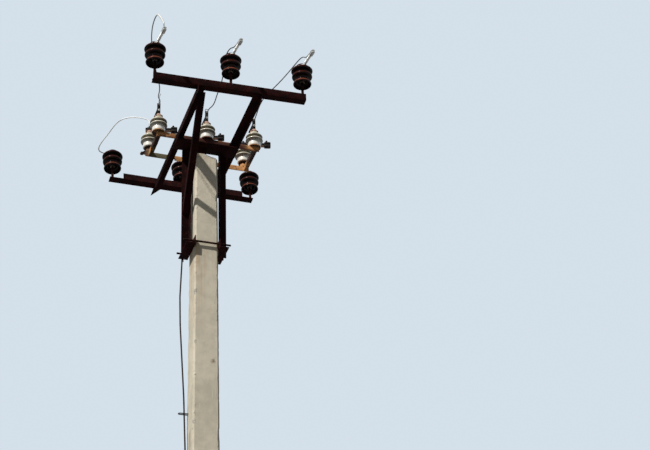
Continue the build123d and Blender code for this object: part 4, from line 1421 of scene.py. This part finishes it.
@dataclass
class WhiteColumns:
    """White ribbed post insulators, fixed in the near row and turning in the far one."""

    radius: float = 0.0715
    waist: float = 0.048
    foot: float = 0.052

    def profile(self) -> Array:
        """Half outline from the foot up over two wide sheds and a small one to the cap."""
        r, w, h, c = self.radius, self.waist, HEAD.column_height, HEAD.cap_radius
        corners = [
            (0.0, 0.0),
            (self.foot - 0.004, 0.0),
            (self.foot, h * 0.03),
            (self.foot * 0.99, h * 0.27),
            (w, h * 0.33),
            (w + 0.004, h * 0.36),
            (r * 0.90, h * 0.375),
            (r * 0.985, h * 0.40),
            (r, h * 0.44),
            (r * 0.95, h * 0.485),
            (w * 1.02, h * 0.55),
            (w * 0.98, h * 0.58),
            (w * 1.01, h * 0.61),
            (r * 0.86, h * 0.625),
            (r * 0.955, h * 0.65),
            (r * 0.97, h * 0.69),
            (r * 0.91, h * 0.735),
            (w * 0.84, h * 0.80),
            (w * 0.81, h * 0.82),
            (w * 0.85, h * 0.832),
            (w * 0.905, h * 0.85),
            (w * 0.91, h * 0.88),
            (w * 0.85, h * 0.905),
            (c + 0.002, h * 0.935),
            (c * 0.98, h),
            (0.0, h),
        ]
        return rounded(corners, 0.0045, 5)

    def build(self) -> None:
        """Make the four nodes of porcelain in place of their CAD solids."""
        turned = lathe(self.profile(), 96, PORCELAIN)
        fixed = Assembly("fixed_columns_glazed", "pole", "white_porcelain", PORCELAIN, sharp=60.0)
        fixed.add(turned, *[standing(x, HEAD.near_row, HEAD.near_foot) for x in HEAD.near_x])
        fixed.make("fixed_columns")
        for x, side in zip(HEAD.far_x, SIDES):
            name = f"turning_column_{side}"
            column = Assembly(f"{name}_glazed", f"{side}_column", "white_porcelain", PORCELAIN, sharp=60.0)
            column.add(turned, standing(x, HEAD.far_row, HEAD.far_foot))
            column.make(name)


@dataclass
class Disconnector:
    """Frame, bearings, levers, link, blades and fixed contacts, with their small fasteners."""

    blade_angle: float = -14.0
    blade_reach: float = 0.228
    tip_inset: float = 0.034
    lug_near_face: float = -0.0042
    lug_far_face: float = 0.0080
    lug_bolt: Nut = Nut(0.0165, 0.0066, 0.0098, 0.0016)
    lug_nut: Nut = Nut(0.0165, 0.0078, 0.0098, 0.0016)
    block_bolt: Nut = Nut(0.0140, 0.0060, 0.0082, 0.0014)
    block_bolt_x: float = -0.0255
    stud_nut: Nut = Nut(0.0265, 0.0105, 0.0150, 0.0022)
    spring_nut: Nut = Nut(0.0130, 0.0056, 0.0095, 0.0016)
    spring_bolt: Nut = Nut(0.0150, 0.0062, 0.0105, 0.0018)
    spring_radius: float = 0.0068
    spring_wire: float = 0.0013
    spring_turns: float = 3.5
    frame_leg: float = 0.045
    frame_thick: float = 0.005
    column_nut: Nut = Nut(0.0236, 0.0102, 0.0150, 0.0028)
    bearing_bolt: Nut = Nut(0.0100, 0.0050)
    bearing_bolt_x: float = 0.0215

    def build(self) -> None:
        """Ease the castings and sections, then add the bolts, set screws, springs and welds."""
        eased("disconnector_frame", FRAME)
        eased("fixed_column_feet", FEET, Wear.CUT)
        eased("column_bearings", FRAME, Wear.CUT)
        eased("phase_link", ROD, Wear.CUT)
        for near_x, far_x, side in zip(HEAD.near_x, HEAD.far_x, SIDES):
            eased(f"column_shaft_{side}", CASTING, Wear.CUT)
            eased(f"fixed_contact_{side}", BLADE, Wear.CUT, CAP, self.near_cap)
            cap = partial(self.far_cap, far_x)
            eased(f"blade_{side}", BLADE, Wear.CUT, CAP, cap)
            self.fixed_fasteners(near_x, side)
            self.blade_fasteners(far_x, side)
        self.frame_fasteners()

    @staticmethod
    def near_cap(middles: Array) -> Array:
        """Which faces of a fixed contact are its cap's: those under the cap's top."""
        return middles[:, 2] < HEAD.near_foot + HEAD.column_height + HEAD.cap_height + 1e-4

    @staticmethod
    def far_cap(x: float, middles: Array) -> Array:
        """Which faces of a blade are its cap's: those under the blade and within the cap's radius."""
        away = np.hypot(middles[:, 0] - x, middles[:, 1] - HEAD.far_row)
        return (middles[:, 2] < HEAD.blade_low + 1e-4) & (away < HEAD.cap_radius + 2e-3)

    def fixed_fasteners(self, x: float, side: str) -> None:
        """Bolt, nut and washers in the lug's hole, and set screws on the cap."""
        parts = Assembly(f"contact_fasteners_{side}", "pole", "contact_metal", BOLT)
        row, hole = HEAD.near_row, HEAD.lug_hole
        near = pointing((x, row + self.lug_near_face, hole), (0, -1, 0))
        self.lug_bolt.fit(parts, near, 14.0)
        parts.add(thread(0.0049, 0.010, 0.0015), near.at(0, 0, 0.0052))
        back = pointing((x, row + self.lug_far_face, hole), (0, 1, 0))
        end = pointing((x, row + self.lug_far_face + 0.0002, hole), (0, -1, 0))
        parts.add(thread(0.0049, 0.0085, 0.0015), end)
        self.lug_nut.fit(parts, back, 5.0)
        rise = HEAD.near_foot + HEAD.column_height + HEAD.cap_screw_rise
        cap_screws(parts, (x, row, rise), finish=NUT)
        parts.make()

    def blade_fasteners(self, x: float, side: str) -> None:
        """A bolt in the head block, the terminal nut, set screws, and a spring bolt at the tip.

        The spring is (r cos a, r sin a, c + k a), with a from 0 to its last turn.
        """
        parts = Assembly(f"blade_fasteners_{side}", f"{side}_column", "contact_metal", CASTING)
        base = standing(x, HEAD.far_row, 0.0).turned(self.blade_angle)
        self.block_bolt.fit(parts, base.at(self.block_bolt_x, 0, HEAD.blade_high), 20.0)
        along = self.blade_reach - self.tip_inset
        tip = base.at(along, 0, HEAD.blade_high + 0.008)
        parts.add(washer(self.spring_bolt.washer_radius, self.spring_bolt.washer_thick), tip)
        a = np.linspace(0.0, 2 * math.pi * self.spring_turns, 90)
        r = self.spring_radius
        spring = np.stack([r * np.cos(a), r * np.sin(a), 0.0032 + a * 0.00062], axis=1)
        parts.add(swept(tip.apply(spring), self.spring_wire, 8, (0, 0, 1)))
        self.spring_nut.fit(parts, tip.at(0, 0, 0.0170), 9.0)
        parts.add(thread(0.0038, 0.0285, 0.0014), tip)
        below = pointing(base.at(along, 0, HEAD.blade_low - 0.008).origin, (0, 0, -1))
        self.spring_bolt.fit(parts, below, 25.0)
        self.stud_nut.fit(parts, base.at(0, 0, HEAD.blade_high), 18.0)
        rise = HEAD.far_foot + HEAD.column_height + HEAD.cap_screw_rise
        cap_screws(parts, (x, HEAD.far_row, rise), 45.0 + self.blade_angle)
        parts.make()

    def frame_fasteners(self) -> None:
        """Bolts that hold the columns and bearings to the frame, and the frame's welds."""
        parts = Assembly("frame_fasteners", "pole", "rusty_frame", NUT)
        under = HEAD.frame_top - self.frame_thick
        for x in HEAD.near_x:
            seat = pointing((x, HEAD.near_row, under), (0, 0, -1))
            self.column_nut.fit(parts, seat, 8.0)
            parts.add(thread(0.0080, 0.0240, 0.002), seat)
        for x in HEAD.far_x:
            for away in (-self.bearing_bolt_x, self.bearing_bolt_x):
                seat = pointing((x + away, HEAD.far_row, under), (0, 0, -1))
                self.bearing_bolt.fit(parts, seat, 31.0 + 400 * away)
        for seed, (start, end, size) in enumerate(self.seams(), 61):
            parts.add(bead(start, end, size, seed, FRAME))
        parts.make()

    def seams(self) -> list[tuple[Point, Point, float]]:
        """Both ends and the bead's radius of each seam: four mitres, then the frame on the chords."""
        low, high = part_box("disconnector_frame")
        inset, mitre = 0.004, self.frame_leg - 0.002
        lines: list[tuple[Point, Point, float]] = []
        for x, sx in ((low.x, 1), (high.x, -1)):
            for y, sy in ((low.y, 1), (high.y, -1)):
                start = (x + inset * sx, y + inset * sy, HEAD.frame_top)
                end = (x + mitre * sx, y + mitre * sy, HEAD.frame_top)
                lines.append((start, end, 0.0020))
        edges = (low.y, low.y + self.frame_thick, high.y - self.frame_leg, high.y - self.frame_leg + 0.005)
        for node in ("chord_left", "chord_right"):
            near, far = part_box(node)
            for y in edges:
                start, end = (near.x + inset, y, HEAD.chord_top), (far.x - inset, y, HEAD.chord_top)
                lines.append((start, end, 0.0034))
        return lines


@dataclass
class LineTies:
    """Wire ties on the near insulators, each with its twisted leg and its clamp."""

    ring: float = 0.0478
    wire: float = 0.0045
    reach: float = 0.215
    leg_wire: float = 0.0041
    leg_apart: float = 0.0043
    leg_flare: float = 0.017
    leg_turns: float = 1.7
    wrap_wire: float = 0.0016
    wrap_radius: float = 0.0102
    wrap_pitch: float = 0.0036
    wraps: tuple[tuple[float, float], ...] = ((0.26, 0.52), (0.60, 0.98))
    clamp_size: tuple[float, float, float] = (0.026, 0.058, 0.030)
    clamp_gap: float = 0.0024
    bolts_at: tuple[float, float] = (-0.0165, 0.0165)
    bolt: Nut = Nut(0.0125, 0.0052, 0.0078, 0.0014)
    bolt_nut: Nut = Nut(0.0125, 0.0050)

    def build(self) -> None:
        """Make each tie in place of its CAD solid."""
        z = HEAD.near_stand + HEAD.bell_height * HEAD.bell_groove
        for place, side in zip(HEAD.tie_places(), SIDES):
            tie = Assembly(f"line_tie_{side}_wires", "pole", "aluminium_wire", SILVER, sharp=50.0)
            groove = place.at(0, 0, z)
            tie.add(torus(self.ring, self.wire, z, 96, 6), place)
            self.leg(tie, groove)
            self.clamp(tie, groove.at(0, -self.reach, 0))
            tie.make(f"line_tie_{side}")

    def leg(self, tie: Assembly, groove: Place) -> None:
        """Two wires wound round each other from the ring to the clamp, with wire wrapped round them.

        Each wire is (s cos a, y, r sin a) about the leg's line, where a turns
        with y and s falls from flare + r at the ring to r at the clamp.
        """
        t = np.linspace(0.0, 1.0, 120)
        run = -self.ring + (self.ring - self.reach + self.clamp_size[1] / 2) * t
        spread = self.leg_apart + self.leg_flare * (1 - t) ** 6
        for phase in (0.0, math.pi):
            a = phase + t * 2 * math.pi * self.leg_turns
            path = np.stack([spread * np.cos(a), run, self.leg_apart * np.sin(a)], axis=1)
            tie.add(swept(groove.apply(path), self.leg_wire, 12, (1, 0, 0), None, 6, 0.05))
        for first, last in self.wraps:
            turns = (last - first) * abs(run[-1] - run[0]) / self.wrap_pitch
            w = np.linspace(0.0, 1.0, int(turns * 14))
            y = run[0] + (run[-1] - run[0]) * (first + (last - first) * w)
            a = w * turns * 2 * math.pi
            coil = np.stack([self.wrap_radius * np.cos(a), y, self.wrap_radius * np.sin(a)], axis=1)
            tie.add(swept(groove.apply(coil), self.wrap_wire, 6, (0, 1, 0)))

    def clamp(self, tie: Assembly, middle: Place) -> None:
        """Two flat shells with round corners, one over the other, drawn together by two bolts."""
        width, length, height = self.clamp_size
        half, gap = height / 2, self.clamp_gap / 2
        for low, high in ((-half, -gap), (gap, half)):
            tie.add(slab(oblong(width, length, 0.006), low, high, 0.0022, CLAMP), middle)
        for along in self.bolts_at:
            self.bolt.fit(tie, middle.at(0, along, half - 0.0005), 13.0, BOLT)
            under = pointing(middle.at(0, along, -half + 0.0005).origin, -middle.axes[:, 2])
            self.bolt_nut.fit(tie, under, 4.0, BOLT)
            tie.add(thread(0.0038, 0.0095, 0.0013, BOLT), under)


class Terminal(Enum):
    """What the end of a jumper goes into."""

    LUG = "bolted to the upright lug"
    STUD = "pressed on the blade's stud"


@dataclass
class Jumper:
    """A stranded jumper wire on its route from the CAD source, with its end fittings."""

    side: str
    route: tuple[Point, ...]
    terminal: Terminal
    finish: Finish = SHADED_WIRE
    diameter: float = 0.007
    crown_radius: float = 0.0045
    across: Point = (1.0, 0.0, 0.0)
    # first and last share of the wire's length that lies under armour strands
    armour: tuple[float, float] | None = None
    armour_radius: float = 0.0078
    armour_taper: float = 0.0028
    palm: tuple[float, float, float] = (0.022, 0.080, 0.0040)

    def line(self) -> Array:
        """Points of the smooth NURBS line of the route, read from a bare curve."""
        data = bpy.data.curves.new(f"route_{self.side}", "CURVE")
        data.dimensions = "3D"
        data.resolution_u = 20
        spline = data.splines.new("NURBS")
        spline.points.add(len(self.route) - 1)
        for point, place in zip(spline.points, self.route):
            point.co = (*place, 1.0)
        spline.order_u = 3
        spline.use_endpoint_u = True
        bare = bpy.data.objects.new(f"route_{self.side}", data)
        bpy.context.scene.collection.objects.link(bare)
        bpy.context.view_layer.update()
        mesh = bpy.data.meshes.new_from_object(bare)
        points = np.array([vertex.co[:] for vertex in mesh.vertices])
        bpy.data.objects.remove(bare)
        bpy.data.curves.remove(data)
        bpy.data.meshes.remove(mesh)
        return points

    def build(self) -> None:
        path = even_steps(self.line())
        wire = Assembly(f"jumper_{self.side}_wire", "pole", "aluminium_wire", self.finish, sharp=80.0)
        wire.add(swept(path, self.crown_radius, 18, self.across, None, 6, 0.085))
        piece = wire.make(f"jumper_{self.side}")
        self.fittings(path)
        if self.armour:
            self.strands(path, *self.armour)

    def strands(self, path: Array, first: float, last: float) -> None:
        """Armour strands over a stretch: radius R - T s^6, with s from -1 at one end to 1 at the other."""
        stretch = path[int(first * len(path)) : int(last * len(path))]
        s = np.linspace(-1.0, 1.0, len(stretch))
        size = self.armour_radius - self.armour_taper * s**6
        rods = Assembly(f"jumper_{self.side}_armour", "pole", "aluminium_wire", SILVER, sharp=80.0)
        rods.add(swept(stretch, size, 24, self.across, None, 9, 0.11))
        rods.make()

    def fittings(self, path: Array) -> None:
        """Pressed barrel at the wire's end, on the stud, or on the lug with a flat palm."""
        on_lug = self.terminal is Terminal.LUG
        body = "pole" if on_lug else "left_column"
        parts = Assembly(f"jumper_{self.side}_terminals", body, "aluminium_wire", CLAMP)
        back = pointing(path[-1], -unit(path[-1] - path[-6]), self.across)
        if on_lug:
            foot, r, neck, tail, end = 0.004, 0.0066, 0.0060, 0.0350, 0.037
        else:
            foot, r, neck, tail, end = 0.0, 0.0075, 0.0068, 0.0355, 0.038
        mouth = 0.0036
        outline = [(0, foot), (r, foot), (r, 0.030), (neck, 0.034), (mouth, tail), (mouth, end)]
        parts.add(lathe(rounded(outline, 0.001), 28), back)
        if on_lug:
            width, length, thick = self.palm
            plate = pointing(path[-1] + np.array([0, 0.0001, 0]), (0, -1, 0))
            parts.add(slab(oblong(width, length, 0.008, (0.0, -0.026)), 0.0, thick, 0.0008, BLADE), plate)
        parts.make()


# Points of the jumpers' routes, as they come out of the CAD source, in metres
ROUTES: dict[str, tuple[Point, ...]] = {
    "left": (
        (-0.5686, -0.9316, 9.3325), (-0.5686, -0.9316, 9.3885), (-0.5612, -0.8704, 9.4491),
        (-0.5715, -0.8290, 9.5275), (-0.5898, -0.7799, 9.5985), (-0.6059, -0.7132, 9.5530),
        (-0.6060, -0.6658, 9.4774), (-0.5925, -0.6247, 9.3994), (-0.5744, -0.5936, 9.3176),
        (-0.5471, -0.5552, 9.2421), (-0.5085, -0.4965, 9.1878), (-0.4737, -0.4185, 9.1649),
        (-0.4559, -0.3325, 9.1784), (-0.4439, -0.2497, 9.2096), (-0.4248, -0.1698, 9.2445),
        (-0.3890, -0.0938, 9.2738), (-0.3890, -0.0378, 9.2738),
    ),
    "middle": (
        (0.0252, -0.9243, 9.3269), (0.0208, -0.8685, 9.3269), (-0.0025, -0.7979, 9.3644),
        (-0.0111, -0.7148, 9.3612), (-0.0075, -0.6402, 9.3236), (0.0024, -0.5800, 9.2653),
        (0.0065, -0.5065, 9.2261), (0.0062, -0.4228, 9.2170), (0.0119, -0.3388, 9.2205),
        (0.0217, -0.2557, 9.2313), (0.0253, -0.1735, 9.2496), (0.0130, -0.0938, 9.2738),
        (0.0130, -0.0378, 9.2738),
    ),
    "right": (
        (0.6078, -0.9446, 9.3269), (0.6034, -0.8888, 9.3269), (0.5957, -0.8219, 9.3881),
        (0.5949, -0.7399, 9.4273), (0.5683, -0.6576, 9.4089), (0.5254, -0.5933, 9.3599),
        (0.4812, -0.5258, 9.3172), (0.4474, -0.4430, 9.3025), (0.4307, -0.3539, 9.3141),
        (0.4230, -0.2637, 9.3266), (0.4185, -0.1731, 9.3179), (0.4150, -0.0938, 9.2738),
        (0.4150, -0.0378, 9.2738),
    ),
    "far_left": (
        (-0.6501, 0.7288, 9.2607), (-0.7061, 0.7288, 9.2607), (-0.7444, 0.6594, 9.2496),
        (-0.7159, 0.6075, 9.3006), (-0.6730, 0.5704, 9.3596), (-0.6392, 0.5160, 9.4104),
        (-0.5924, 0.4584, 9.4431), (-0.5220, 0.4175, 9.4474), (-0.4598, 0.3711, 9.4235),
        (-0.4163, 0.3179, 9.3792), (-0.3940, 0.2625, 9.3236), (-0.3940, 0.2625, 9.2676),
    ),
}


@dataclass
class LooseEnds:
    """Short bare ends of wire at the terminals, and the binding on the far left insulator."""

    tail: tuple[Point, ...] = (
        (-0.389, -0.0335, 9.286),
        (-0.392, -0.034, 9.345),
        (-0.376, -0.036, 9.392),
    )
    tail_radius: float = 0.0026
    loop_middle: Point = (0.013, -0.0335, 9.3035)
    loop_size: Point = (0.013, 0.003, 0.013)
    loop_radius: float = 0.0027
    binding_ring: float = 0.0452
    binding_wire: float = 0.0021
    binding_apart: float = 0.0050

    def build(self) -> None:
        """Make the strand tail, the wire ring and the binding."""
        ends = Assembly("wire_ends", "pole", "aluminium_wire", SHADED_WIRE, sharp=60.0)
        ends.add(swept(self.tail_path(), self.tail_radius, 12, (1, 0, 0), None, 6, 0.05))
        ends.add(swept(self.loop_path(), self.loop_radius, 10, (0, 1, 0), None, 5, 0.04))
        ends.make()
        bind = Assembly("far_left_binding", "pole", "aluminium_wire", SILVER, sharp=60.0)
        z = HEAD.far_stand + HEAD.bell_height * HEAD.bell_groove
        for height in (z - self.binding_apart, z + self.binding_apart):
            bind.add(torus(self.binding_ring, self.binding_wire, height), HEAD.far_places()[0])
        bind.make()

    def tail_path(self) -> Array:
        """Quadratic curve from the first point towards the second and on to the third."""
        t = np.linspace(0.0, 1.0, 30)[:, None]
        start, lean, end = (np.array(point) for point in self.tail)
        return (1 - t) ** 2 * start + 2 * t * (1 - t) * lean + t**2 * end

    def loop_path(self) -> Array:
        """Part of an ellipse, middle + (a cos u, b sin u, c sin u), open by 54 degrees at the foot."""
        u = np.linspace(-0.35 * math.pi, 1.35 * math.pi, 48)
        (x, y, z), (a, b, c) = self.loop_middle, self.loop_size
        return np.stack([x + a * np.cos(u), y + b * np.sin(u), z + c * np.sin(u)], axis=1)


@dataclass
class EarthingDown:
    """Earthing rod down the left face and the staples that hold it."""

    rod_x: float = -0.1367
    weld_apart: float = 0.006
    weld_radius: float = 0.0032

    def build(self) -> None:
        """Dress the CAD solids, whose shapes are right, and add the weld at the clamp."""
        for node in ("earthing_rod", "earthing_staples"):
            source = frame["nodes"][node]
            source.data.materials.clear()
            source.data.materials.append(ROD.material())
            source.data.polygons.foreach_set("use_smooth", np.ones(len(source.data.polygons), bool))
            log.info("%s keeps its CAD shape", node)
        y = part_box("clamp_angle_left")[1].y + 0.0008
        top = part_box("earthing_rod")[1].z
        welds = Assembly("earthing_weld", "pole", "rusty_angle", PIN)
        for seed, x in ((91, self.rod_x - self.weld_apart), (92, self.rod_x + self.weld_apart)):
            welds.add(bead((x, y, top - 0.052), (x, y, top - 0.004), self.weld_radius, seed))
        welds.make()


@dataclass
class StudioSet:
    """Floor, world, lamps and the camera at the photograph's place."""

    position: Point = (-3.011, -11.377, 0.638)
    heading: float = 0.34
    pitch: float = 0.57
    roll: float = -0.041
    lens: float = 98.02
    key_way: Point = (0.45, 0.32, -0.60)
    key_colour: Colour = (1.0, 0.965, 0.91)
    key_energy: float = 4.8
    key_spread: float = 2.2
    fill: float = 0.17
    fill_colour: Colour = (0.90, 0.95, 1.0)
    backdrop: Colour = (0.66, 0.745, 0.82)
    floor_reach: float = 30.0

    def camera(self) -> None:
        """Camera whose view runs along (sin h cos p, cos h cos p, sin p), rolled by r."""
        h, p, r = self.heading, self.pitch, self.roll
        forward = Vector((math.sin(h) * math.cos(p), math.cos(h) * math.cos(p), math.sin(p)))
        right = Vector((math.cos(h), -math.sin(h), 0.0))
        up = right.cross(forward)
        right, up = right * math.cos(r) + up * math.sin(r), up * math.cos(r) - right * math.sin(r)
        data = bpy.data.cameras.new("camera")
        data.lens, data.sensor_width = self.lens, 36.0
        data.clip_start, data.clip_end = 0.1, 300.0
        camera = bpy.data.objects.new("camera", data)
        bpy.context.scene.collection.objects.link(camera)
        turn = Matrix((right, up, -forward)).transposed().to_4x4()
        camera.matrix_world = Matrix.Translation(self.position) @ turn
        bpy.context.scene.camera = camera

    def lamps(self) -> None:
        """A key lamp from high on the left, and an even world."""
        data = bpy.data.lights.new("key", "SUN")
        data.energy, data.angle = self.key_energy, math.radians(self.key_spread)
        data.color = self.key_colour
        key = bpy.data.objects.new("key", data)
        key.rotation_mode = "QUATERNION"
        key.rotation_quaternion = Vector(self.key_way).to_track_quat("-Z", "Y")
        bpy.context.scene.collection.objects.link(key)
        world = bpy.data.worlds.new("studio")
        bpy.context.scene.world = world
        world.use_nodes = True
        g = Nodes(world.node_tree)
        g.tree.nodes.clear()
        seen, fill = (
            Value(g, g.node("Background", None, {"Color": colour, "Strength": strength}).outputs[0])
            for colour, strength in ((self.backdrop, 1.0), (self.fill_colour, self.fill))
        )
        either = g.node("MixShader", None, {0: g.direct(), 1: fill, 2: seen})
        g.node("OutputWorld", None, {"Surface": Value(g, either.outputs[0])})

    def floor(self) -> None:
        """Large plain floor just under the pole's foot."""
        axis = np.linspace(-self.floor_reach, self.floor_reach, 3)
        x, y = np.meshgrid(axis, axis, indexing="ij")
        grid = Surface(np.stack([x, y, np.full_like(x, -0.001)], axis=-1), False)
        points, quads, _ = grid.faces()
        mesh = bpy.data.meshes.new("floor")
        mesh.from_pydata(points.tolist(), [], quads[:, ::-1].tolist())
        mesh.materials.append(Studio("floor_pale").material())
        floor = bpy.data.objects.new("floor", mesh)
        bpy.context.scene.collection.objects.link(floor)

    def build(self) -> None:
        """Set the stage."""
        self.camera()
        self.lamps()
        self.floor()
        bpy.context.scene.view_settings.view_transform = "Standard"


def jumpers() -> list[Jumper]:
    """The four jumper wires, each with its own end and finish."""
    return [
        Jumper("left", ROUTES["left"], Terminal.LUG, armour=(0.045, 0.24)),
        Jumper("middle", ROUTES["middle"], Terminal.LUG),
        Jumper("right", ROUTES["right"], Terminal.LUG),
        Jumper("far_left", ROUTES["far_left"], Terminal.STUD, SILVER, across=(0.5, 0.85, 0.1)),
    ]


def main() -> None:
    """Build the stage and every sub-assembly in order."""
    logging.basicConfig(level=logging.INFO, format="%(name)s: %(message)s")
    StudioSet().build()
    ConcretePole().build()
    SteelHead().build()
    BrownInsulators().build()
    WhiteColumns().build()
    Disconnector().build()
    LineTies().build()
    for jumper in jumpers():
        jumper.build()
    LooseEnds().build()
    EarthingDown().build()


if __name__ == "__main__":
    main()
